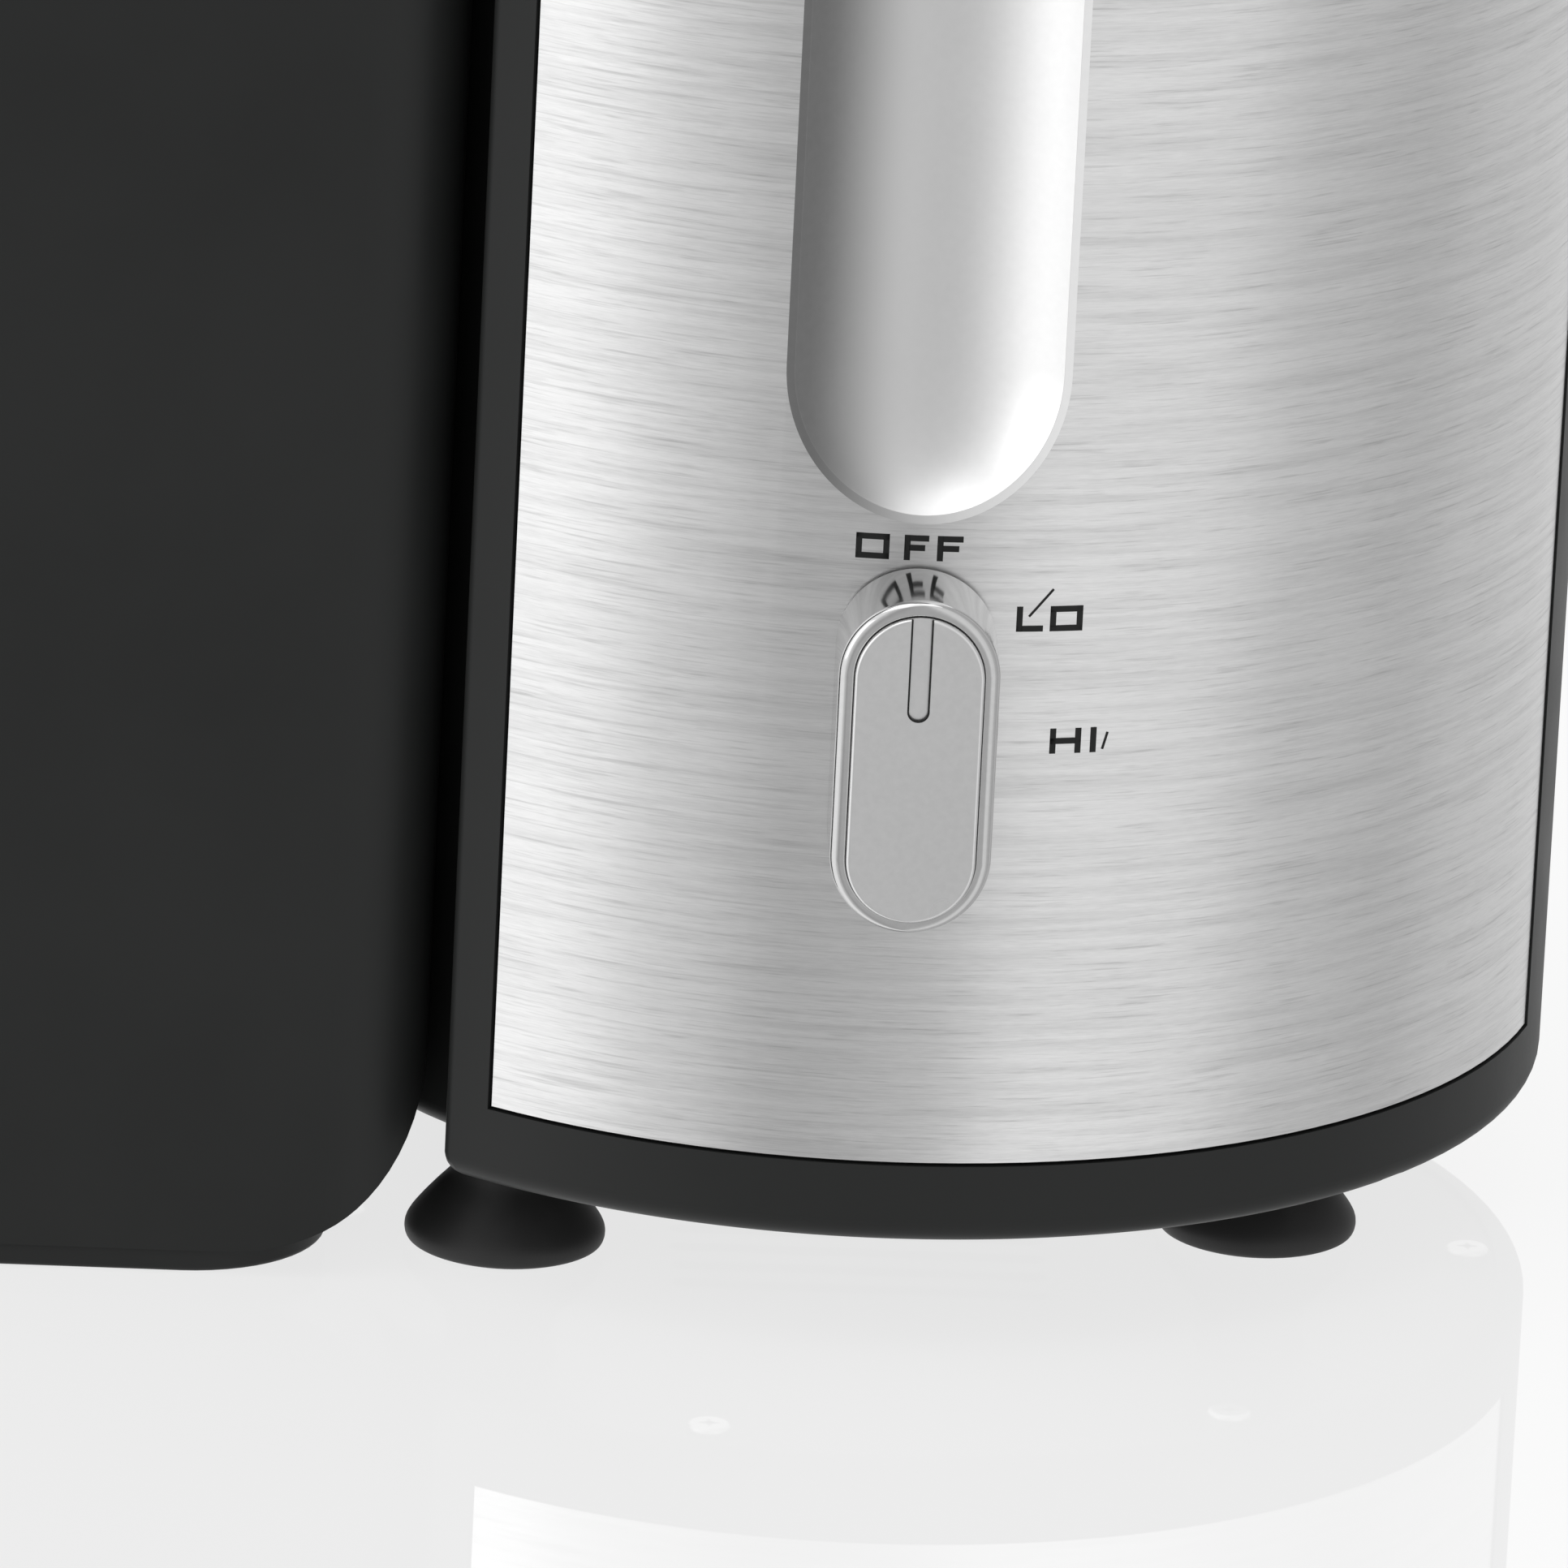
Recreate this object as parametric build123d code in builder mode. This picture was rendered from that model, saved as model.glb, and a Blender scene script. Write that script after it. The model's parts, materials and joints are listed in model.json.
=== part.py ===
"""Centrifugal juicer: base with motor, bowl, filter basket, lid, pusher, clamps and pulp container."""
import os
from math import atan2, cos, degrees, hypot, pi, radians, sin

from build123d import *

os.makedirs("parts", exist_ok=True)

# Driving dimensions, in millimetres. Plan positions are taken from the motor axis; the front is -Y.
container_reach = 185.0       # motor axis to the pulp container's outer side
spout_reach = 136.0           # motor axis to the tip of the spout
axis_x = (container_reach - spout_reach) / 2   # puts the origin under the middle of the whole machine

base_radius = 100.0
base_bottom = 16.5
collar_top = 270.0            # top of the housing, where the bowl's flange rests
wall = 3.0
recess_radius = 85.5          # hollow side that the pulp container nests against
pillar_angle = 40.0           # left edge of the front pillar, measured from the front
bottom_edge_radius = 3.5
plate_bottom = base_bottom + 0.8
plate_thickness = 2.5
vent_rows = 7
deck_bottom = 202.0
deck_top = 205.0
deck_ledge = 3.0              # width and height of the ledge that the deck rests on
shaft_hole_radius = 16.0
cap_thickness = 3.0
well_mouth_radius = 83.3

panel_left = 35.2             # edges of the steel panel, in degrees from the front
panel_right = 74.2
panel_bottom = 28.6
panel_top = 262.0
panel_depth = 1.3
panel_sheet = 0.8
panel_gap = 0.5               # shadow line round the panel
panel_face_radius = base_radius - 0.3

channel_radius = 28.3         # radius of the hollow channel above the knob
channel_depth = 9.0
channel_foot = 127.0          # lowest point of the channel on the panel
channel_top = 226.0
channel_skin = 1.0
channel_axis_y = base_radius - channel_depth + channel_radius
channel_ball_z = channel_foot + (channel_radius**2 - (channel_axis_y - base_radius) ** 2) ** 0.5

pocket_half = 19.3            # recess for a locking clamp
pocket_floor_y = 90.0
pocket_bottom = 232.0

knob_z = 94.2
knob_width = 23.0
knob_height = 49.6
knob_back_y = 100.6
knob_front_y = 117.0
knob_cap_width = 18.4
knob_cap_height = 45.4
knob_cap_front_y = 118.0
knob_shaft_radius = 3.0
running_gap = 0.05

feet = {                      # centre of each foot, and how far out the rib beside its boss reaches
    "front_left": (-53.8, -57.0, 84.0),
    "front_right": (57.0, -40.3, 97.0),
    "rear_left": (-53.8, 57.0, 84.0),
    "rear_right": (57.0, 40.3, 97.0),
}
foot_places = [(x, y) for x, y, reach in feet.values()]
foot_radius = 14.7
foot_neck_radius = 8.0
foot_stud_radius = 3.0
foot_boss_radius = 6.5
rib_width = 4.0

screw_ring_radius = 91.5
screw_angles = (-105.0, -55.0, 0.0, 55.0, 105.0)
screw_radius = 1.7

shaft_radius = 4.0
stator_bottom = 95.0
stator_top = 137.0
bolt_x = 36.0
bolt_y = 22.0
bolt_radius = 2.0
mount_x = 36.0
mount_y = 36.0

bowl_radius = 82.0
bowl_wall = 2.0
bowl_floor = 208.0
bowl_flange_radius = 89.0
bowl_flange_top = 272.5
tower_radius = 22.5
tower_bore = 20.0

basket_floor_z = 224.0
basket_floor_radius = 47.0
basket_top_z = 262.0
basket_top_radius = 66.0

lid_flange_radius = 91.0
lid_bottom = 272.8
hood_bottom = 270.3
hood_top = 297.0
lid_wall = 2.4
dome_radius = 85.2
dome_top = 301.0
chute_radius = 40.0
chute_bore = 37.5
chute_bottom = 231.0
chute_top = 372.0

pusher_radius = 36.8
pusher_bottom = 258.0
pusher_top = 400.0

container_right = 66.4
container_half = 77.0
container_bottom = 3.5
container_top = 268.5
container_nest = 88.0         # concave side, centred on the motor axis
container_wall = 2.2

clamp_pin_y = 94.6
clamp_pin_z = 240.0
clamp_half = 18.5
clamp_rest_tilt = 14.0        # degrees that a released clamp leans away from the lid
clamp_pin_radius = 1.6

plunger_angle = 42.0          # from the +X axis towards the back
plunger_ring_radius = 92.0
plunger_radius = 2.2

spin = Axis((axis_x, 0, 0), (0, 0, 1))
plunger_x = plunger_ring_radius * cos(radians(plunger_angle))
plunger_y = plunger_ring_radius * sin(radians(plunger_angle))
screw_places = [(9 - recess_radius, 0)]
for angle in screw_angles:
    screw_places.append((screw_ring_radius * cos(radians(angle)), screw_ring_radius * sin(radians(angle))))


def level(height):
    """A horizontal plane centred on the motor axis."""
    return Plane(origin=(axis_x, 0, height))


def section():
    """The upright plane through the motor axis: local x is outwards to the right, local y is up."""
    return Plane(origin=(axis_x, 0, 0), x_dir=(1, 0, 0), z_dir=(0, -1, 0))


def facing(distance, height=0.0):
    """An upright plane in front of the motor axis that looks towards the front."""
    return Plane(origin=(axis_x, -distance, height), x_dir=(1, 0, 0), z_dir=(0, -1, 0))


def at(x, y, z):
    """A point given from the motor axis."""
    return (axis_x + x, y, z)


def sector(inner, outer, left, right):
    """Sketch a curved strip between two radii; the angles are measured from the front."""
    start = -90 - left
    sweep_angle = left + right
    with BuildLine() as strip:
        far = CenterArc((0, 0), outer, start, sweep_angle)
        near = CenterArc((0, 0), inner, start, sweep_angle)
        Line(far @ 0, near @ 0)
        Line(far @ 1, near @ 1)
    make_face(strip.edges())


def body_outline(inset=0.0):
    """Sketch the housing's plan: a circle with a hollow on the left for the pulp container."""
    outer = base_radius
    inner = recess_radius
    edge = 90 + pillar_angle
    with BuildLine() as plan:
        rim = CenterArc((0, 0), outer, -edge, 2 * edge)
        hollow = CenterArc((0, 0), inner, edge, 360 - 2 * edge)
        Line(rim @ 1, hollow @ 0)
        Line(hollow @ 1, rim @ 0)
    make_face(plan.edges())
    if inset:
        offset(amount=-inset, kind=Kind.INTERSECTION, mode=Mode.REPLACE)


def inner_outline(inset):
    """The housing's plan made smaller all round, as a sketch of its own."""
    with BuildSketch(Plane.XY) as plan:
        body_outline(inset=inset)
    return plan.sketch


def foot_ribs(width, extra=0.0, mode=Mode.ADD):
    """Sketch a bar from the middle of each foot's boss out to the wall."""
    for x, y, reach in feet.values():
        near = hypot(x, y)
        share = (near + reach) / 2 / near
        with Locations(Location((x * share, y * share, 0), (0, 0, degrees(atan2(y, x))))):
            Rectangle(reach - near + extra, width, mode=mode)


def scoop(radius, top, mode):
    """A round-ended vertical trough, as wide as the channel, up to the height given."""
    length = top - channel_ball_z
    with Locations(at(0, -channel_axis_y, channel_ball_z + length / 2)):
        Cylinder(radius, length, mode=mode)
    with Locations(at(0, -channel_axis_y, channel_ball_z)):
        Sphere(radius, mode=mode)


def pocket_box(side, half, floor, bottom, top, mode):
    """A block at the front (side -1) or the back (side 1), from the clamp pocket's floor outwards."""
    depth = base_radius + 2 - floor
    with Locations(at(0, side * (floor + depth / 2), (bottom + top) / 2)):
        Box(2 * half, depth, top - bottom, mode=mode)


# Base housing: one moulded casing, open below for the motor and above for the bowl, with a deck ledge.
with BuildPart() as base_housing:
    with BuildSketch(level(base_bottom)):
        body_outline()
    extrude(amount=collar_top - base_bottom)
    fillet(base_housing.edges().filter_by(Axis.Z), radius=2.0)
    fillet(base_housing.edges().group_by(Axis.Z)[0], radius=bottom_edge_radius)
    fillet(base_housing.edges().group_by(Axis.Z)[-1], radius=1.2)
    with BuildSketch(level(base_bottom)):
        body_outline(inset=wall + panel_depth)
    extrude(amount=collar_top - cap_thickness - base_bottom, mode=Mode.SUBTRACT)
    with BuildSketch(level(deck_bottom - deck_ledge)):
        body_outline()
        offset(amount=-1, kind=Kind.INTERSECTION, mode=Mode.REPLACE)
        add(inner_outline(wall + panel_depth + deck_ledge), mode=Mode.SUBTRACT)
    extrude(amount=deck_ledge)
    with BuildSketch(level(deck_top)):
        Circle(recess_radius - wall)
    extrude(amount=collar_top - deck_top, mode=Mode.SUBTRACT)
    with BuildSketch(level(panel_bottom)):
        sector(base_radius - panel_depth, base_radius + 5, panel_left, panel_right)
    extrude(amount=panel_top - panel_bottom, mode=Mode.SUBTRACT)
    # Clamp pockets, front and back, each with a floor and side walls of its own
    for side in (-1, 1):
        backing = base_radius - 4 - pocket_floor_y + wall
        backing_y = side * (pocket_floor_y - wall + backing / 2)
        with Locations(at(0, backing_y, (channel_top + collar_top - 1) / 2)):
            Box(2 * (pocket_half + wall), backing, collar_top - 1 - channel_top)
        pocket_box(side, pocket_half, pocket_floor_y, pocket_bottom, collar_top + 1, Mode.SUBTRACT)
    scoop(channel_radius + channel_skin + 0.1, channel_top, Mode.SUBTRACT)
    # Clamp hinge pin holes
    for side in (-1, 1):
        with Locations(at(0, side * clamp_pin_y, clamp_pin_z)):
            Cylinder(clamp_pin_radius, 2 * (pocket_half + 1), rotation=(0, 90, 0), mode=Mode.SUBTRACT)
    # Way out for the spout
    with Locations(at(base_radius - 8, 0, (deck_top + 1 + collar_top) / 2 + 1)):
        Box(26, 27, collar_top - deck_top, mode=Mode.SUBTRACT)
    # Knob shaft hole and the hole for the safety plunger
    with Locations(at(0, -base_radius + 3, knob_z)):
        Cylinder(5.0, 12, rotation=(90, 0, 0), mode=Mode.SUBTRACT)
    with Locations(at(plunger_x, plunger_y, (deck_bottom + collar_top) / 2)):
        Cylinder(plunger_radius + 0.4, collar_top - deck_bottom + 12, mode=Mode.SUBTRACT)
    # Bosses for the bottom screws
    with BuildSketch(level(base_bottom + 4)):
        with Locations(*screw_places):
            Circle(5.0)
    extrude(amount=26)
    with BuildSketch(level(base_bottom + 4)):
        with Locations(*screw_places):
            Circle(screw_radius)
    extrude(amount=22, mode=Mode.SUBTRACT)
    # Foot bosses, each tied to the outer wall by a rib
    with BuildSketch(level(plate_bottom)):
        with Locations(*foot_places):
            Circle(foot_boss_radius)
        foot_ribs(rib_width)
    extrude(amount=12)
    with BuildSketch(level(base_bottom)):
        with Locations(*foot_places):
            Circle(foot_neck_radius + 0.2)
    extrude(amount=plate_bottom - base_bottom, mode=Mode.SUBTRACT)
    with BuildSketch(level(base_bottom)):
        with Locations(*foot_places):
            Circle(foot_stud_radius + 0.1)
    extrude(amount=9, mode=Mode.SUBTRACT)
    # Cord inlet at the back
    with Locations(at(0, base_radius - 3, 44)):
        Cylinder(7.0, 12, rotation=(90, 0, 0), mode=Mode.SUBTRACT)
base_housing.part.label = "base_housing"
export_step(base_housing.part, "parts/base_housing.step")

# Motor deck: the floor under the bowl; it rests on the housing's ledge and carries the motor below.
with BuildPart() as motor_deck:
    with BuildSketch(level(deck_bottom)):
        add(inner_outline(wall + panel_depth + 0.1))
        Circle(shaft_hole_radius, mode=Mode.SUBTRACT)
        with Locations((plunger_x, plunger_y)):
            Circle(plunger_radius + 0.4, mode=Mode.SUBTRACT)
    extrude(amount=deck_top - deck_bottom)
    scoop(channel_radius + channel_skin + 0.2, channel_top, Mode.SUBTRACT)
    with BuildSketch(level(deck_bottom)):
        with GridLocations(2 * mount_x, 2 * mount_y, 2, 2):
            Circle(7.0)
    extrude(amount=-6)
motor_deck.part.label = "motor_deck"
export_step(motor_deck.part, "parts/motor_deck.step")

# Front panel: thin brushed sheet, curved round the housing, cut away for the channel, clamp and knob shaft.
with BuildPart() as front_panel:
    with BuildSketch(level(panel_bottom + panel_gap)):
        gap_angle = panel_gap / base_radius * 180 / pi
        sheet_back = panel_face_radius - panel_sheet
        sector(sheet_back, panel_face_radius, panel_left - gap_angle, panel_right - gap_angle)
    extrude(amount=panel_top - panel_bottom - 2 * panel_gap)
    scoop(channel_radius + channel_skin + 0.2, channel_top, Mode.SUBTRACT)
    with Locations(at(0, -base_radius, (channel_top + collar_top) / 2)):
        Box(2 * pocket_half + 1, 12, collar_top - channel_top, mode=Mode.SUBTRACT)
    with Locations(at(0, -base_radius, knob_z)):
        Cylinder(4.6, 12, rotation=(90, 0, 0), mode=Mode.SUBTRACT)
front_panel.part.label = "front_panel"
export_step(front_panel.part, "parts/front_panel.step")

# Channel insert: concave trough with a ball-shaped foot and a thin rim that stands just proud of the panel.
with BuildPart() as channel_insert:
    scoop(channel_radius + channel_skin, channel_top - 0.2, Mode.ADD)
    scoop(channel_radius, channel_top, Mode.SUBTRACT)
    with Locations(at(0, 0, channel_top / 2)):
        Cylinder(base_radius + 0.3, 2 * channel_top, mode=Mode.INTERSECT)
channel_insert.part.label = "channel_insert"
export_step(channel_insert.part, "parts/channel_insert.step")

# Bottom plate: sits inside the housing's lower edge, with slots that let the motor's cooling air out.
with BuildPart() as bottom_plate:
    with BuildSketch(level(plate_bottom)):
        body_outline(inset=wall + panel_depth + 0.3)
        with Locations(*screw_places):
            Circle(screw_radius + 0.2, mode=Mode.SUBTRACT)
        with Locations(*foot_places):
            Circle(foot_neck_radius + 0.3, mode=Mode.SUBTRACT)
        with GridLocations(0, 8, 1, vent_rows):
            SlotOverall(56, 3.6, mode=Mode.SUBTRACT)
        foot_ribs(rib_width + 1, extra=6.0, mode=Mode.SUBTRACT)
    extrude(amount=plate_thickness)
bottom_plate.part.label = "bottom_plate"
export_step(bottom_plate.part, "parts/bottom_plate.step")

# Bottom screws: pan heads under the plate, shanks up into the housing's bosses.
with BuildPart() as bottom_screws:
    with BuildSketch(level(plate_bottom)):
        with Locations(*screw_places):
            Circle(screw_radius - 0.1)
    extrude(amount=14)
    with BuildSketch(level(plate_bottom)):
        with Locations(*screw_places):
            Circle(3.2)
    extrude(amount=-1.8)
    fillet(bottom_screws.edges().group_by(Axis.Z)[0], radius=0.7)
bottom_screws.part.label = "bottom_screws"
export_step(bottom_screws.part, "parts/bottom_screws.step")

# Suction-cup feet: a neck under the plate, a flared cup with a rounded rim, and a stud that holds it.
for place, (foot_x, foot_y, _) in feet.items():
    foot_plane = Plane(origin=at(foot_x, foot_y, 0), x_dir=(1, 0, 0), z_dir=(0, -1, 0))
    with BuildPart() as foot:
        with BuildSketch(foot_plane):
            with BuildLine():
                Polyline(
                    (foot_radius - 1.6, 0),
                    (foot_radius - 0.3, 0.6),
                    (foot_radius, 2.0),
                    (foot_radius - 0.6, 3.2),
                    (foot_neck_radius + 0.4, 9.6),
                    (foot_neck_radius, 10.6),
                    (foot_neck_radius, plate_bottom),
                    (foot_stud_radius, plate_bottom),
                    (foot_stud_radius, plate_bottom + 7),
                    (0, plate_bottom + 7),
                    (0, 6.5),
                    (3.0, 6.5),
                    (foot_radius - 2.4, 0),
                    close=True,
                )
            make_face()
        revolve(axis=Axis(at(foot_x, foot_y, 0), (0, 0, 1)))
    foot.part.label = f"foot_{place}"
    export_step(foot.part, f"parts/foot_{place}.step")

# Cord inlet: a bush in the back wall with an open bore; its collar is the hindmost point of the machine.
inlet_z = 44.0
inlet_bore = 3.6
with BuildPart() as cord_inlet:
    with Locations(at(0, (base_radius - 8 + knob_cap_front_y) / 2, inlet_z)):
        Cylinder(6.9, knob_cap_front_y - base_radius + 8, rotation=(90, 0, 0))
    with Locations(at(0, base_radius + 1.5, inlet_z)):
        Cylinder(10.0, 3.0, rotation=(90, 0, 0))
    with Locations(at(0, base_radius, inlet_z)):
        Cylinder(inlet_bore, 60, rotation=(90, 0, 0), mode=Mode.SUBTRACT)
    fillet(cord_inlet.edges().group_by(Axis.Y)[-1], radius=1.2)
cord_inlet.part.label = "cord_inlet"
export_step(cord_inlet.part, "parts/cord_inlet.step")

# Shaft seal: a rubber lip ring in the deck.
with BuildPart() as shaft_seal:
    with BuildSketch(section()):
        with BuildLine():
            Polyline(
                (shaft_radius + 0.3, deck_top - 1.5),
                (15.9, deck_top - 1.5),
                (15.9, deck_bottom + 0.2),
                (12.0, deck_bottom + 0.2),
                (8.0, deck_top - 4.4),
                (shaft_radius + 0.3, deck_top - 2.6),
                close=True,
            )
        make_face()
    revolve(axis=spin)
shaft_seal.part.label = "shaft_seal"
export_step(shaft_seal.part, "parts/shaft_seal.step")

# Motor: a universal motor hung from the deck on rubber mounts.
with BuildPart() as stator_core:
    with BuildSketch(level(stator_bottom)):
        RectangleRounded(88, 66, 9)
        Circle(25.0, mode=Mode.SUBTRACT)
        with Locations((0, 25), (0, -25)):
            SlotOverall(30, 9, mode=Mode.SUBTRACT)
        with GridLocations(2 * bolt_x, 2 * bolt_y, 2, 2):
            Circle(bolt_radius + 0.1, mode=Mode.SUBTRACT)
    extrude(amount=stator_top - stator_bottom)
stator_core.part.label = "stator_core"
export_step(stator_core.part, "parts/stator_core.step")

with BuildPart() as field_windings:
    for end, direction in ((stator_top, 1), (stator_bottom, -1)):
        with BuildSketch(level(end + 0.1 * direction)):
            with BuildLine() as upper_arc:
                CenterArc((0, 0), 29.5, 35, 110)
            trace(upper_arc.edges(), line_width=6.5)
            with BuildLine() as lower_arc:
                CenterArc((0, 0), 29.5, 215, 110)
            trace(lower_arc.edges(), line_width=6.5)
        extrude(amount=9 * direction)
    fillet(field_windings.edges().group_by(Axis.Z)[-1], radius=2.0)
    fillet(field_windings.edges().group_by(Axis.Z)[0], radius=2.0)
field_windings.part.label = "field_windings"
export_step(field_windings.part, "parts/field_windings.step")

bearing_outer = 11.0
bearing_height = 7.0
upper_plate = 176.0
lower_plate = 58.0


def motor_bracket(plate_bottom_z, cup_top, leg_bottom, leg_top):
    """A bracket: a round plate, a bearing cup in its middle and four legs to the stator."""
    with BuildPart() as bracket:
        with BuildSketch(level(plate_bottom_z)):
            Circle(46.0)
            with GridLocations(2 * mount_x, 2 * mount_y, 2, 2):
                Circle(7.5)
        extrude(amount=4)
        with BuildSketch(level(min(plate_bottom_z, cup_top))):
            Circle(bearing_outer + 3)
        extrude(amount=abs(cup_top - plate_bottom_z) + 4)
        with BuildSketch(level(leg_bottom)):
            with GridLocations(2 * bolt_x, 2 * bolt_y, 2, 2):
                Circle(5.0)
        extrude(amount=leg_top - leg_bottom)
        with BuildSketch(level(lower_plate - 10)):
            Circle(bearing_outer)
            with GridLocations(2 * bolt_x, 2 * bolt_y, 2, 2):
                Circle(bolt_radius + 0.1)
            with PolarLocations(28, 4, start_angle=0):
                SlotOverall(14, 7)
        extrude(amount=upper_plate - lower_plate + 40, mode=Mode.SUBTRACT)
    return bracket.part


upper_bracket = BuildPart()
with upper_bracket:
    add(motor_bracket(upper_plate, upper_plate - 6, stator_top, upper_plate))
upper_bracket.part.label = "upper_bracket"
export_step(upper_bracket.part, "parts/upper_bracket.step")

lower_bracket = BuildPart()
with lower_bracket:
    add(motor_bracket(lower_plate, lower_plate + 2, lower_plate + 4, stator_bottom))
lower_bracket.part.label = "lower_bracket"
export_step(lower_bracket.part, "parts/lower_bracket.step")

for place, bearing_bottom in (("upper", upper_plate - 6), ("lower", lower_plate)):
    with BuildPart() as bearing:
        with BuildSketch(level(bearing_bottom)):
            Circle(bearing_outer - 0.02)
            Circle(shaft_radius + running_gap, mode=Mode.SUBTRACT)
        extrude(amount=bearing_height)
        with BuildSketch(level(bearing_bottom)):
            Circle(bearing_outer - 2.6)
            Circle(shaft_radius + 2.2, mode=Mode.SUBTRACT)
        extrude(amount=0.8, mode=Mode.SUBTRACT)
    bearing.part.label = f"{place}_bearing"
    export_step(bearing.part, f"parts/{place}_bearing.step")

# Motor bolts: long through-bolts that clamp both brackets to the stator.
with BuildPart() as motor_bolts:
    with BuildSketch(level(lower_plate - 4)):
        with GridLocations(2 * bolt_x, 2 * bolt_y, 2, 2):
            RegularPolygon(3.6, 6)
    extrude(amount=4)
    with BuildSketch(level(lower_plate)):
        with GridLocations(2 * bolt_x, 2 * bolt_y, 2, 2):
            Circle(bolt_radius)
    extrude(amount=upper_plate + 8 - lower_plate)
motor_bolts.part.label = "motor_bolts"
export_step(motor_bolts.part, "parts/motor_bolts.step")

# Rubber mounts between the upper bracket's ears and the bosses under the deck.
mount_bottom = upper_plate + 4
mount_top = deck_bottom - 6
with BuildPart() as motor_mounts:
    with BuildSketch(level(mount_bottom)):
        with GridLocations(2 * mount_x, 2 * mount_y, 2, 2):
            Circle(6.5)
    extrude(amount=mount_top - mount_bottom)
    with BuildSketch(level(mount_bottom + 6)):
        with GridLocations(2 * mount_x, 2 * mount_y, 2, 2):
            Circle(7.0)
            Circle(5.0, mode=Mode.SUBTRACT)
    extrude(amount=4, mode=Mode.SUBTRACT)
motor_mounts.part.label = "motor_mounts"
export_step(motor_mounts.part, "parts/motor_mounts.step")

# Carbon brushes and their holders, left and right of the commutator.
commutator_radius = 12.0
commutator_bottom = 145.0
commutator_top = 163.0
brush_z = (commutator_bottom + commutator_top) / 2
with BuildPart() as brush_holders:
    for sign in (-1, 1):
        with Locations(at(sign * 27.0, 0, brush_z)):
            Box(22, 13, 11)
            Box(24, 8.2, 6.2, mode=Mode.SUBTRACT)
        with Locations(at(sign * 37.0, 0, brush_z + 5)):
            Box(5, 12, 2)
brush_holders.part.label = "brush_holders"
export_step(brush_holders.part, "parts/brush_holders.step")

with BuildPart() as carbon_brushes:
    for sign in (-1, 1):
        with Locations(at(sign * (commutator_radius + 0.2 + 10), 0, brush_z)):
            Box(20, 8, 6)
    with Locations(at(0, 0, brush_z)):
        Cylinder(commutator_radius + 0.1, 10, mode=Mode.SUBTRACT)
carbon_brushes.part.label = "carbon_brushes"
export_step(carbon_brushes.part, "parts/carbon_brushes.step")

# Rotor: shaft, armature, commutator and fan turn together, and the coupling carries the basket.
shaft_bottom = 56.0
coupling_bottom = 209.0
coupling_top = 220.0
coupling_radius = 13.0
with BuildPart() as motor_shaft:
    with BuildSketch(level(shaft_bottom)):
        Circle(shaft_radius)
    extrude(amount=coupling_bottom + 8 - shaft_bottom)
    chamfer(motor_shaft.edges().group_by(Axis.Z)[-1], length=0.6)
    chamfer(motor_shaft.edges().group_by(Axis.Z)[0], length=0.6)
motor_shaft.part.label = "motor_shaft"
export_step(motor_shaft.part, "parts/motor_shaft.step")

armature_slots = 12
with BuildPart() as armature_core:
    with BuildSketch(level(stator_bottom + 1)):
        Circle(24.3)
        Circle(shaft_radius, mode=Mode.SUBTRACT)
        with PolarLocations(19.5, armature_slots):
            SlotOverall(7, 3.6, mode=Mode.SUBTRACT)
        with PolarLocations(23.5, armature_slots):
            Rectangle(4, 1.4, mode=Mode.SUBTRACT)
    extrude(amount=stator_top - stator_bottom - 2)
armature_core.part.label = "armature_core"
export_step(armature_core.part, "parts/armature_core.step")

with BuildPart() as armature_winding:
    for low, high in ((stator_bottom - 8, stator_bottom + 1), (stator_top - 1, stator_top + 7)):
        with BuildSketch(level(low)):
            Circle(22.0)
            Circle(shaft_radius, mode=Mode.SUBTRACT)
        extrude(amount=high - low)
    fillet(armature_winding.edges().group_by(Axis.Z)[-1].sort_by(Edge.length)[-1:], radius=3.0)
    fillet(armature_winding.edges().group_by(Axis.Z)[0].sort_by(Edge.length)[-1:], radius=3.0)
armature_winding.part.label = "armature_winding"
export_step(armature_winding.part, "parts/armature_winding.step")

segments = 24
with BuildPart() as commutator:
    with BuildSketch(level(stator_top + 7)):
        Circle(commutator_radius + 1.5)
        Circle(shaft_radius, mode=Mode.SUBTRACT)
    extrude(amount=commutator_bottom - stator_top - 7)
    with BuildSketch(level(commutator_bottom)):
        Circle(commutator_radius)
        Circle(shaft_radius, mode=Mode.SUBTRACT)
        with PolarLocations(commutator_radius, segments):
            Rectangle(1.6, 0.5, mode=Mode.SUBTRACT)
    extrude(amount=commutator_top - commutator_bottom)
commutator.part.label = "commutator"
export_step(commutator.part, "parts/commutator.step")

fan_bottom = 70.0
blades = 11
with BuildPart() as cooling_fan:
    with BuildSketch(level(fan_bottom)):
        Circle(27.0)
    extrude(amount=1.6)
    with BuildSketch(level(fan_bottom)):
        Circle(8.0)
    extrude(amount=13)
    with BuildSketch(level(fan_bottom + 1.6)):
        with PolarLocations(17.0, blades):
            Rectangle(19, 1.4, rotation=25)
    extrude(amount=9)
    with BuildSketch(level(fan_bottom)):
        Circle(shaft_radius)
    extrude(amount=14, mode=Mode.SUBTRACT)
cooling_fan.part.label = "cooling_fan"
export_step(cooling_fan.part, "parts/cooling_fan.step")

coupling_teeth = 8
with BuildPart() as drive_coupling:
    with BuildSketch(level(coupling_bottom)):
        Circle(coupling_radius)
        with PolarLocations(coupling_radius, coupling_teeth):
            Circle(1.8, mode=Mode.SUBTRACT)
    extrude(amount=coupling_top - coupling_bottom)
    with BuildSketch(level(coupling_bottom)):
        Circle(shaft_radius)
    extrude(amount=8, mode=Mode.SUBTRACT)
    chamfer(drive_coupling.edges().group_by(Axis.Z)[-1], length=0.8)
drive_coupling.part.label = "drive_coupling"
export_step(drive_coupling.part, "parts/drive_coupling.step")

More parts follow.
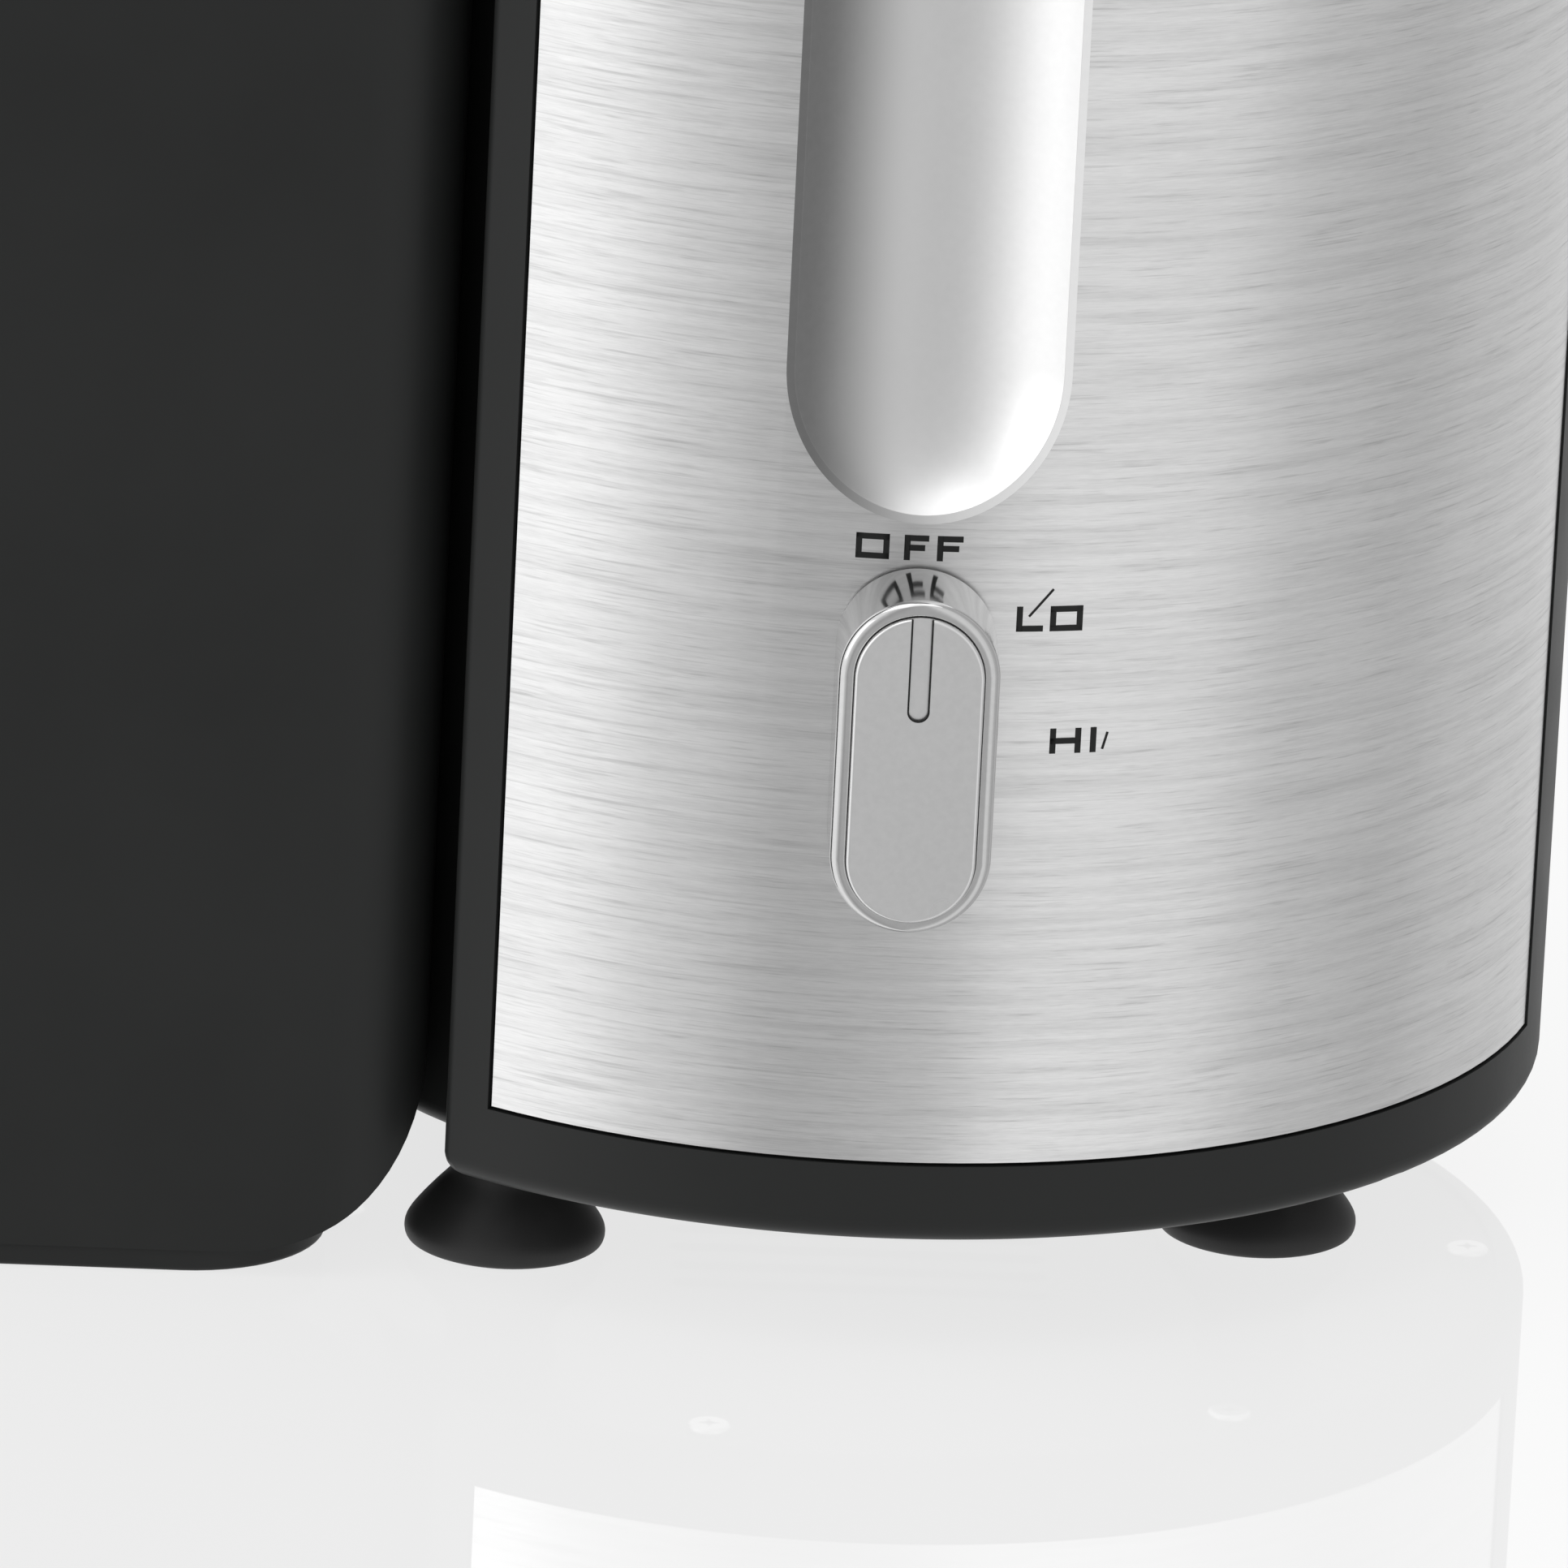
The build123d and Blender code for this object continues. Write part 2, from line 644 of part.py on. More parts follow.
# Controls behind the knob and on the bottom plate.
switch_front_y = base_radius - wall - panel_depth - 1.2
switch_back_y = switch_front_y - 22
with BuildPart() as speed_switch:
    with Locations(at(0, -(switch_front_y + switch_back_y) / 2, knob_z)):
        Box(30, switch_front_y - switch_back_y, 30)
    fillet(speed_switch.edges().filter_by(Axis.Y), radius=3)
    with Locations(*[at(x, -switch_back_y + 3, knob_z - 8) for x in (-9, 0, 9)]):
        Box(5, 8, 0.8)
    with BuildSketch(facing(switch_back_y + 4, knob_z)):
        Circle(knob_shaft_radius + running_gap)
    extrude(amount=switch_front_y - switch_back_y, mode=Mode.SUBTRACT)
speed_switch.part.label = "speed_switch"
export_step(speed_switch.part, "parts/speed_switch.step")

plate_top = plate_bottom + plate_thickness
board_z = plate_top + 8
board_y = 56.0
with BuildPart() as speed_board:
    with Locations(at(0, board_y, board_z)):
        Box(66, 34, 1.6)
    with Locations(*[at(x, board_y + y, (plate_top + board_z) / 2) for x in (-28, 28) for y in (-12, 12)]):
        Cylinder(2.5, board_z - plate_top)
    with Locations(at(-16, board_y, board_z + 7)):
        Cylinder(6, 13)
    with Locations(at(4, board_y + 4, board_z + 9)):
        Box(3, 20, 18)
    with Locations(at(20, board_y - 4, board_z + 5)):
        Box(14, 12, 9)
speed_board.part.label = "speed_board"
export_step(speed_board.part, "parts/speed_board.step")

terminal_x = 62.0
terminal_pitch = 9.0
terminal_rows = (-1.5, -0.5, 0.5, 1.5)
with BuildPart() as terminal_block:
    with Locations(at(terminal_x, 0, plate_top + 7)):
        Box(14, 38, 14)
    with Locations(*[at(terminal_x, terminal_pitch * row, plate_top + 14) for row in terminal_rows]):
        Cylinder(2.4, 5, mode=Mode.SUBTRACT)
    fillet(terminal_block.edges().group_by(Axis.Z)[-1].filter_by(GeomType.LINE), radius=0.8)
terminal_block.part.label = "terminal_block"
export_step(terminal_block.part, "parts/terminal_block.step")

# Safety switch below the deck, and the sprung plunger that the lid's tab presses down onto it.
plunger_bottom = 193.0
plunger_top = 272.3
collar_z = 225.0
plunger_turn = degrees(atan2(plunger_y, plunger_x))
with BuildPart() as safety_switch:
    with Locations(Location(at(plunger_x * 0.96, plunger_y * 0.96, 181), (0, 0, plunger_turn))):
        Box(11, 22, 14)
    with Locations(at(plunger_x * 0.97, plunger_y * 0.97, 188.4)):
        Cylinder(1.6, 1.6)
    with Locations(Location(at(plunger_x * 0.90, plunger_y * 0.90, 193), (0, 0, plunger_turn))):
        Box(2, 22, 18)
safety_switch.part.label = "safety_switch"
export_step(safety_switch.part, "parts/safety_switch.step")

with BuildPart() as safety_plunger:
    with Locations(at(plunger_x, plunger_y, (plunger_bottom + plunger_top) / 2)):
        Cylinder(plunger_radius, plunger_top - plunger_bottom)
    with Locations(at(plunger_x, plunger_y, collar_z)):
        Cylinder(plunger_radius + 1.4, 2)
    fillet(safety_plunger.edges().group_by(Axis.Z)[-1], radius=0.8)
safety_plunger.part.label = "safety_plunger"
export_step(safety_plunger.part, "parts/safety_plunger.step")

spring_turns = 6
spring_bottom = deck_top + 0.5
spring_top = collar_z - 1.5
spring_height = spring_top - spring_bottom
with BuildPart() as plunger_spring:
    with BuildLine(Plane(origin=at(plunger_x, plunger_y, spring_bottom))):
        coil = Helix(pitch=spring_height / spring_turns, height=spring_height, radius=3.1)
    with BuildSketch(Plane(origin=coil @ 0, z_dir=coil % 0)):
        Circle(0.4)
    sweep(path=coil, is_frenet=True)
plunger_spring.part.label = "plunger_spring"
export_step(plunger_spring.part, "parts/plunger_spring.step")

# Speed knob: polished obround body on a D-shaft, with a satin cap and a pointer groove.
with BuildPart() as speed_knob:
    with BuildSketch(facing(knob_back_y, knob_z)):
        SlotOverall(knob_height, knob_width, rotation=90)
    extrude(amount=knob_front_y - knob_back_y)
    fillet(speed_knob.edges().group_by(Axis.Y)[0], radius=1.5)
    with BuildSketch(facing(knob_front_y - 1.0, knob_z)):
        SlotOverall(knob_cap_height + 0.2, knob_cap_width + 0.2, rotation=90)
    extrude(amount=3, mode=Mode.SUBTRACT)
    with BuildSketch(facing(knob_back_y, knob_z)):
        Circle(knob_shaft_radius)
    extrude(amount=8, mode=Mode.SUBTRACT)
speed_knob.part.label = "speed_knob"
export_step(speed_knob.part, "parts/speed_knob.step")

groove_width = 3.2
groove_length = 15.4
with BuildPart() as knob_cap:
    with BuildSketch(facing(knob_front_y - 1.0, knob_z)):
        SlotOverall(knob_cap_height, knob_cap_width, rotation=90)
    extrude(amount=knob_cap_front_y - knob_front_y + 1.0)
    fillet(knob_cap.edges().group_by(Axis.Y)[0], radius=0.5)
    with BuildSketch(facing(knob_cap_front_y - 0.6, knob_z)):
        with Locations((0, knob_cap_height / 2 - groove_length / 2 + groove_width / 2)):
            SlotOverall(groove_length + groove_width, groove_width, rotation=90)
    extrude(amount=2, mode=Mode.SUBTRACT)
knob_cap.part.label = "knob_cap"
export_step(knob_cap.part, "parts/knob_cap.step")

with BuildPart() as knob_shaft:
    with BuildSketch(facing(switch_back_y + 6, knob_z)):
        Circle(knob_shaft_radius)
    extrude(amount=knob_back_y + 8 - switch_back_y - 6)
knob_shaft.part.label = "knob_shaft"
export_step(knob_shaft.part, "parts/knob_shaft.step")

# Filter basket: grater disc, fine mesh wall, rolled rim and the drive hub under the disc.
with BuildPart() as grater_disc:
    with BuildSketch(level(basket_floor_z)):
        Circle(basket_floor_radius)
    extrude(amount=1.2)
    for ring_radius, count in ((14.0, 12), (24.0, 20), (34.0, 28)):
        with Locations(Location(at(0, 0, basket_floor_z + 1.2))):
            with PolarLocations(ring_radius, count):
                Cone(1.5, 0.3, 1.6, align=(Align.CENTER, Align.CENTER, Align.MIN))
    with Locations(at(0, 0, basket_floor_z + 1.2)):
        Cylinder(6.0, 3.0, align=(Align.CENTER, Align.CENTER, Align.MIN))
    fillet(grater_disc.edges().group_by(Axis.Z)[-1], radius=1.0)
grater_disc.part.label = "grater_disc"
export_step(grater_disc.part, "parts/grater_disc.step")

mesh_wall = 0.8
with BuildPart() as filter_mesh:
    with BuildSketch(section()):
        with BuildLine():
            Polyline(
                (basket_floor_radius + 0.1, basket_floor_z),
                (basket_floor_radius + mesh_wall + 0.1, basket_floor_z),
                (basket_top_radius + mesh_wall, basket_top_z),
                (basket_top_radius, basket_top_z),
                close=True,
            )
        make_face()
    revolve(axis=spin)
filter_mesh.part.label = "filter_mesh"
export_step(filter_mesh.part, "parts/filter_mesh.step")

with BuildPart() as basket_rim:
    with BuildSketch(section()):
        with BuildLine():
            Polyline(
                (basket_top_radius - 0.8, basket_top_z),
                (basket_top_radius + 3.4, basket_top_z),
                (basket_top_radius + 3.4, basket_top_z + 3),
                (basket_top_radius - 0.8, basket_top_z + 3),
                close=True,
            )
        make_face()
    revolve(axis=spin)
    fillet(basket_rim.edges().group_by(Axis.Z)[-1], radius=0.9)
basket_rim.part.label = "basket_rim"
export_step(basket_rim.part, "parts/basket_rim.step")

hub_ribs = 6
with BuildPart() as basket_hub:
    with BuildSketch(level(basket_floor_z - 2.5)):
        Circle(basket_floor_radius - 4)
    extrude(amount=2.5)
    with BuildSketch(level(basket_floor_z - 2.5)):
        Circle(18.0)
        Circle(coupling_radius + 0.5, mode=Mode.SUBTRACT)
    extrude(amount=-11.5)
    with BuildSketch(level(basket_floor_z - 2.5)):
        with PolarLocations(34.0, hub_ribs):
            Rectangle(16, 2)
    extrude(amount=-4)
basket_hub.part.label = "basket_hub"
export_step(basket_hub.part, "parts/basket_hub.step")

# Juice bowl: nests in the housing's well; its tower keeps juice off the coupling, the spout is on the right.
spout_half = 12.0
spout_skin = 2.4
spout_height = 24.0
nozzle_bottom = 197.0
nozzle_reach = 20.0
with BuildPart() as juice_bowl:
    with BuildSketch(section()):
        with BuildLine():
            Polyline(
                (tower_bore, bowl_floor),
                (bowl_radius, bowl_floor),
                (bowl_radius, collar_top),
                (bowl_flange_radius, collar_top),
                (bowl_flange_radius, bowl_flange_top),
                (bowl_radius - bowl_wall, bowl_flange_top),
                (bowl_radius - bowl_wall, bowl_floor + 2.5),
                (tower_radius, bowl_floor + 2.5),
                (tower_radius, coupling_top - 3),
                (tower_bore, coupling_top - 3),
                close=True,
            )
        make_face()
    revolve(axis=spin)
    with BuildSketch(level(deck_top)):
        Circle(62.0)
        Circle(59.0, mode=Mode.SUBTRACT)
    extrude(amount=bowl_floor - deck_top)
    with Locations(at((bowl_radius - 1.5 + spout_reach) / 2, 0, bowl_floor + spout_height / 2)):
        Box(spout_reach - bowl_radius + 1.5, 2 * spout_half, spout_height)
    with Locations(at(spout_reach - nozzle_reach / 2, 0, (nozzle_bottom + bowl_floor) / 2 + 1)):
        Box(nozzle_reach, 2 * spout_half, bowl_floor - nozzle_bottom + 2)
    fillet(juice_bowl.edges().filter_by(Axis.X).group_by(Axis.Z)[-1], radius=5)
    fillet(juice_bowl.faces().sort_by(Axis.X)[-1].edges().filter_by(Axis.Z), radius=4)
    with Locations(at((bowl_radius - 4 + spout_reach - spout_skin) / 2, 0, bowl_floor + spout_height / 2)):
        Box(
            spout_reach - spout_skin - bowl_radius + 4,
            2 * (spout_half - spout_skin),
            spout_height - 2 * spout_skin,
            mode=Mode.SUBTRACT,
        )
    with Locations(at(spout_reach - nozzle_reach / 2, 0, nozzle_bottom + 8)):
        Box(
            nozzle_reach - 2 * spout_skin,
            2 * (spout_half - spout_skin),
            2 * 8 + 2,
            mode=Mode.SUBTRACT,
        )
    # Flats at the front and back that clear the locking clamps
    for side in (-1, 1):
        pocket_box(side, pocket_half, pocket_floor_y - 4, collar_top - 1, bowl_flange_top + 1, Mode.SUBTRACT)
juice_bowl.part.label = "juice_bowl"
export_step(juice_bowl.part, "parts/juice_bowl.step")

with BuildPart() as spout_nozzle:
    with BuildSketch(level(nozzle_bottom)):
        with Locations((spout_reach - nozzle_reach / 2, 0)):
            RectangleRounded(nozzle_reach - 1.0, 2 * spout_half - 1.0, 3.5)
            RectangleRounded(
                nozzle_reach - 2 * spout_skin - 0.2,
                2 * (spout_half - spout_skin) - 0.2,
                1.5,
                mode=Mode.SUBTRACT,
            )
    extrude(amount=-4)
spout_nozzle.part.label = "spout_nozzle"
export_step(spout_nozzle.part, "parts/spout_nozzle.step")


def container_plan(inset, round_right, round_left):
    """Sketch the pulp container's plan, with its right side hollowed to nest against the housing."""
    left = -container_reach + inset
    right = -container_right - inset
    half = container_half - inset
    with BuildSketch(Plane.XY) as plan:
        with Locations(((left + right) / 2, 0)):
            Rectangle(right - left, 2 * half)
        fillet(plan.vertices().group_by(Axis.X)[-1], radius=round_right)
        fillet(plan.vertices().group_by(Axis.X)[0], radius=round_left)
        Circle(container_nest + inset, mode=Mode.SUBTRACT)
    return plan.sketch


container_corner = 14.0
container_left_corner = 44.0
container_heel = 28.0


def container_solid(inset, floor, top):
    """The pulp container's outer form, or its inner form when inset, with large rounded heels."""
    with BuildPart() as form:
        with BuildSketch(level(floor)):
            add(container_plan(inset, container_corner - inset, container_left_corner - inset))
        extrude(amount=top - floor)
        with BuildSketch(facing(-container_half - 10)):
            with Locations((-(container_reach + container_right) / 2, (floor + top) / 2 + 20)):
                RectangleRounded(
                    container_reach - container_right - 2 * inset,
                    top - floor + 40,
                    container_heel - inset,
                )
        extrude(amount=2 * container_half + 20, mode=Mode.INTERSECT)
    return form.part


# Pulp container: a tall open bin with rounded heels on a low plinth, rim rolled outwards at the top.
plinth_right = 80.0
with BuildPart() as pulp_container:
    add(container_solid(0.0, container_bottom, container_top))
    with BuildSketch(level(0)):
        with Locations((-(container_reach - 14 + plinth_right) / 2, 0)):
            RectangleRounded(container_reach - 14 - plinth_right, 2 * container_half - 1.2, 21)
        Circle(container_nest + 1, mode=Mode.SUBTRACT)
    extrude(amount=container_bottom + 6)
    fillet(pulp_container.edges().group_by(Axis.Z)[0], radius=0.8)
    add(container_solid(container_wall, container_bottom + 2.6, container_top + 5), mode=Mode.SUBTRACT)
pulp_container.part.label = "pulp_container"
export_step(pulp_container.part, "parts/pulp_container.step")

# Lid: clear dome with a feed chute, and a hood on the left that throws the pulp down into the container.
hood_inner_x = -46.0
hood_half = 76.0


def hood_plan(inset):
    """Sketch the hood's plan: the container's outline joined to the dome."""
    with BuildSketch(Plane.XY) as plan:
        with Locations(((-container_reach + hood_inner_x) / 2, 0)):
            Rectangle(container_reach + hood_inner_x - 2 * inset, 2 * (hood_half - inset))
        fillet(plan.vertices().group_by(Axis.X)[0], radius=43 - inset)
    return plan.sketch


with BuildPart() as juicer_lid:
    with BuildSketch(section()):
        with BuildLine():
            Polyline(
                (0, lid_bottom),
                (lid_flange_radius, lid_bottom),
                (lid_flange_radius, lid_bottom + 3),
                (dome_radius, lid_bottom + 3),
                (dome_radius - 1, lid_bottom + 8),
                (dome_radius - 9, hood_top - 3),
                (chute_radius + 12, dome_top - 0.5),
                (0, dome_top),
                close=True,
            )
        make_face()
    revolve(axis=spin)
    with BuildSketch(level(hood_bottom)):
        add(hood_plan(0))
        Circle(bowl_flange_radius + 0.8, mode=Mode.SUBTRACT)
    extrude(amount=lid_bottom - hood_bottom)
    with BuildSketch(level(lid_bottom)):
        add(hood_plan(0))
    extrude(amount=hood_top - lid_bottom)
    hood_edges = juicer_lid.edges().filter_by_position(Axis.Z, hood_top - 0.1, hood_top + 0.1)
    hood_left = axis_x - container_reach - 1
    fillet(hood_edges.filter_by_position(Axis.X, hood_left, axis_x - dome_radius), radius=9)
    with BuildSketch(section()):
        with BuildLine():
            Polyline(
                (0, lid_bottom - 1),
                (dome_radius - lid_wall, lid_bottom - 1),
                (dome_radius - lid_wall - 1, lid_bottom + 7),
                (dome_radius - lid_wall - 9, hood_top - lid_wall - 3.5),
                (chute_radius + 11, dome_top - lid_wall - 0.5),
                (0, dome_top - lid_wall),
                close=True,
            )
        make_face()
    revolve(axis=spin, mode=Mode.SUBTRACT)
    with BuildSketch(level(hood_bottom - 1)):
        add(hood_plan(lid_wall))
    extrude(amount=hood_top - lid_wall - hood_bottom + 1, mode=Mode.SUBTRACT)
    # Feed chute, with a thickened lip at the top
    with BuildSketch(level(chute_bottom)):
        Circle(chute_radius)
    extrude(amount=chute_top - chute_bottom)
    with BuildSketch(level(chute_top - 3)):
        Circle(chute_radius + 2)
    extrude(amount=3)
    with BuildSketch(level(chute_bottom)):
        Circle(chute_bore)
    extrude(amount=chute_top - chute_bottom, mode=Mode.SUBTRACT)
    # Flats for the clamps, and the tab that presses the safety plunger
    for side in (-1, 1):
        pocket_box(side, pocket_half, pocket_floor_y - 1, lid_bottom - 1, lid_bottom + 4, Mode.SUBTRACT)
    with Locations(Location(at(plunger_x, plunger_y, lid_bottom + 1.5), (0, 0, plunger_turn))):
        Box(12, 12, 3)
juicer_lid.part.label = "juicer_lid"
export_step(juicer_lid.part, "parts/juicer_lid.step")

with BuildPart() as lid_seal:
    with BuildSketch(level(bowl_flange_top)):
        Circle(dome_radius - lid_wall - 0.8)
        Circle(dome_radius - lid_wall - 2.6, mode=Mode.SUBTRACT)
        with Locations((-dome_radius, 0)):
            Rectangle(90, 2 * hood_half, mode=Mode.SUBTRACT)
    extrude(amount=2.2)
lid_seal.part.label = "lid_seal"
export_step(lid_seal.part, "parts/lid_seal.step")

# Food pusher: a hollow cup that fits the chute, closed by a cap that is also the grip.
with BuildPart() as pusher_body:
    with BuildSketch(level(pusher_bottom)):
        Circle(pusher_radius)
    extrude(amount=chute_top + 1 - pusher_bottom)
    fillet(pusher_body.edges().group_by(Axis.Z)[0], radius=2)
    with BuildSketch(level(pusher_bottom + 2.5)):
        Circle(pusher_radius - 2.2)
    extrude(amount=chute_top - pusher_bottom, mode=Mode.SUBTRACT)
    with BuildSketch(level(pusher_bottom + 6)):
        with PolarLocations(pusher_radius, 4):
            Rectangle(1.2, 5, mode=Mode.ADD)
    extrude(amount=chute_top - pusher_bottom - 30, mode=Mode.SUBTRACT)
pusher_body.part.label = "pusher_body"
export_step(pusher_body.part, "parts/pusher_body.step")

with BuildPart() as pusher_cap:
    with BuildSketch(section()):
        with BuildLine():
            Polyline(
                (0, chute_top + 1),
                (chute_radius + 2.5, chute_top + 1),
                (chute_radius + 2.5, chute_top + 7),
                (chute_radius - 3, chute_top + 11),
                (chute_radius - 5, pusher_top - 8),
                (chute_radius - 2, pusher_top - 3),
                (chute_radius - 5, pusher_top),
                (0, pusher_top),
                close=True,
            )
        make_face()
    revolve(axis=spin)
    with BuildSketch(level(pusher_top - 6)):
        Circle(26.0)
    extrude(amount=7, mode=Mode.SUBTRACT)
pusher_cap.part.label = "pusher_cap"
export_step(pusher_cap.part, "parts/pusher_cap.step")

# Locking clamps: levers that stand in the pockets and hook over the lid's flange; released, they lean out.
hook_bottom = lid_bottom + 3 + 0.4 - clamp_pin_z
lever_back = 3.0
lever_front = -3.2
for place, side in (("front", -1), ("rear", 1)):
    tilt = radians(clamp_rest_tilt)
    clamp_plane = Plane(
        origin=at(0, side * clamp_pin_y, clamp_pin_z),
        x_dir=(0, -side * cos(tilt), sin(tilt)),
        z_dir=(-side, 0, 0),
    )
    with BuildPart() as lever:
        with BuildSketch(clamp_plane):
            with BuildLine():
                Polyline(
                    (lever_front, 0),
                    (lever_back, 0),
                    (lever_back, hook_bottom),
                    (lever_back + 5.2, hook_bottom),
                    (lever_back + 5.2, hook_bottom + 3),
                    (lever_back + 1.5, hook_bottom + 7),
                    (lever_front, hook_bottom + 7),
                    (lever_front - 3.0, hook_bottom + 2),
                    (lever_front, hook_bottom - 12),
                    close=True,
                )
            make_face()
            Circle(4.1)
        extrude(amount=clamp_half, both=True)
        with BuildSketch(clamp_plane):
            Circle(clamp_pin_radius + running_gap)
        extrude(amount=clamp_half + 1, both=True, mode=Mode.SUBTRACT)
    lever.part.label = f"{place}_clamp"
    export_step(lever.part, f"parts/{place}_clamp.step")

    with BuildPart() as pin:
        with Locations(at(0, side * clamp_pin_y, clamp_pin_z)):
            Cylinder(clamp_pin_radius, 2 * (pocket_half + 1), rotation=(0, 90, 0))
    pin.part.label = f"{place}_clamp_pin"
    export_step(pin.part, f"parts/{place}_clamp_pin.step")

    with BuildPart() as cover:
        with BuildSketch(clamp_plane):
            with Locations((lever_front - 0.6, (hook_bottom - 12 + 6) / 2)):
                Rectangle(1.2, hook_bottom - 12 - 8)
        extrude(amount=clamp_half - 4, both=True)
    cover.part.label = f"{place}_clamp_cover"
    export_step(cover.part, f"parts/{place}_clamp_cover.step")
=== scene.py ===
import json
import math

import bmesh
import bpy
import numpy as np
from mathutils import Matrix, Vector


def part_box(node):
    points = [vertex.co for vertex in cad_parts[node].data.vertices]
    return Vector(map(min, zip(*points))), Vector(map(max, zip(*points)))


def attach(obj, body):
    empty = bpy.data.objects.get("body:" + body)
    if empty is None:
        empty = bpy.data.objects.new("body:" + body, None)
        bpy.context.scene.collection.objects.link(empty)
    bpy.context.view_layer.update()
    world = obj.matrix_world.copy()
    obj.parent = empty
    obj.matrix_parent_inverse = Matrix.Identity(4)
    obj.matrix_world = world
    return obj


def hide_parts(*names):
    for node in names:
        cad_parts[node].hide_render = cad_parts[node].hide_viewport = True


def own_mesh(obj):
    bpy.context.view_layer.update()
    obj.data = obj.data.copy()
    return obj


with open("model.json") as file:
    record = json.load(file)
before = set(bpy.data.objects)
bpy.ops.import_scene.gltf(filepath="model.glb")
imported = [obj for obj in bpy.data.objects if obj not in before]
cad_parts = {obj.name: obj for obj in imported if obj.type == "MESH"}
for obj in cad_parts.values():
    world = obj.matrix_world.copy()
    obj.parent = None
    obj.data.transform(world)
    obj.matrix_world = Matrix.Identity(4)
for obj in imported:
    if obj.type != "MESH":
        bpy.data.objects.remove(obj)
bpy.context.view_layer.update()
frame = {"nodes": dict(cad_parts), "record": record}
nodes = frame["nodes"]
mm = 0.001


def middle(node):
    low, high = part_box(node)
    return (low + high) / 2


axisX = middle("motor_shaft").x
panelRadius = -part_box("front_panel")[0].y        # the panel's outer face, measured from the motor axis
print("frame loaded, motor axis at x", round(axisX, 4))


# a socket that takes part in sums
class Sock:
    def __init__(self, graph, link):
        self.graph = graph
        self.link = link

    # another output of the same node
    def at(self, out):
        return Sock(self.graph, self.link.node.outputs[out])

    def sum(self, operation, other, swap=False):
        pair = (other, self) if swap else (self, other)
        return self.graph.node("ShaderNodeMath", {"operation": operation}, {0: pair[0], 1: pair[1]})

    def __add__(self, other): return self.sum("ADD", other)
    def __radd__(self, other): return self.sum("ADD", other, True)
    def __sub__(self, other): return self.sum("SUBTRACT", other)
    def __rsub__(self, other): return self.sum("SUBTRACT", other, True)
    def __mul__(self, other): return self.sum("MULTIPLY", other)
    def __rmul__(self, other): return self.sum("MULTIPLY", other, True)
    def __truediv__(self, other): return self.sum("DIVIDE", other)
    def __pow__(self, other): return self.sum("POWER", other)


# a node tree of any kind, filled through its node method
class Graph:
    def __init__(self, tree):
        self.tree = tree
        tree.nodes.clear()

    # settings are set first, then the values or links of the sockets; out is the output handed on
    def node(self, kind, settings=None, values=None, out=0):
        made = self.tree.nodes.new(kind)
        for key, value in (settings or {}).items():
            if key == "stops":
                self.setStops(made.color_ramp, value)
            elif key == "easing":
                made.color_ramp.interpolation = value
            else:
                setattr(made, key, value)
        for key, value in (values or {}).items():
            if isinstance(value, Sock):
                self.tree.links.new(value.link, made.inputs[key])
            else:
                made.inputs[key].default_value = value
        return Sock(self, made.outputs[out]) if len(made.outputs) else None

    def setStops(self, ramp, stops):
        while len(ramp.elements) > 1:
            ramp.elements.remove(ramp.elements[-1])
        for index, (place, colour) in enumerate(stops):
            stop = ramp.elements[0] if index == 0 else ramp.elements.new(place)
            stop.position = place
            stop.color = colour

    def parts(self, vector):
        x = self.node("ShaderNodeSeparateXYZ", {}, {0: vector})
        return x, x.at(1), x.at(2)

    def between(self, value, low, high, toLow=0.0, toHigh=1.0):
        return self.node("ShaderNodeMapRange", {"clamp": True},
                         {"Value": value, 1: low, 2: high, 3: toLow, 4: toHigh})

    def mix(self, factor, first, second):
        return self.node("ShaderNodeMix", {"data_type": "RGBA"}, {"Factor": factor, 6: first, 7: second}, 2)


# a material in the making
class Maker(Graph):
    def __init__(self, name):
        self.material = bpy.data.materials.new(name)
        self.material.use_nodes = True
        super().__init__(self.material.node_tree)

    def place(self):
        return self.node("ShaderNodeTexCoord", out="Object")

    def stretched(self, scale, place):
        return self.node("ShaderNodeMapping", {}, {"Vector": place, "Scale": scale})

    def noise(self, vector, scale, detail=3.0, rough=0.55):
        return self.node("ShaderNodeTexNoise", {"noise_dimensions": "3D"},
                         {"Vector": vector, "Scale": scale, "Detail": detail, "Roughness": rough})

    def bump(self, height, strength, distance):
        return self.node("ShaderNodeBump", {}, {"Height": height, "Strength": strength, "Distance": distance})

    # position unrolled round the motor axis: x is the arc's length, y the radius, z the height
    def round(self):
        x, y, z = self.parts(self.place())
        turn = (x - axisX).sum("ARCTAN2", 0.0 - y)
        radius = ((x - axisX) ** 2.0 + y ** 2.0) ** 0.5
        return self.node("ShaderNodeCombineXYZ", {}, {0: turn * panelRadius, 1: radius, 2: z})

    def output(self, shader):
        self.node("ShaderNodeOutputMaterial", {}, {0: shader})
        return self.material

    def finish(self, **sockets):
        values = {key.replace("_", " "): value for key, value in sockets.items()}
        return self.output(self.node("ShaderNodeBsdfPrincipled", {}, values))


def grey(level, tint=(1, 1, 1)):
    return (level * tint[0], level * tint[1], level * tint[2], 1)


noiseSpan = (0.3, 0.7)        # where most of a noise's values lie
plasticLook = {"grain": 2600, "patches": 26, "shades": (0.92, 1.10), "rough": (0.42, 0.54), "speckle": 0.06,
               "bump": (0.10, 0.00006), "shine": 0.26}


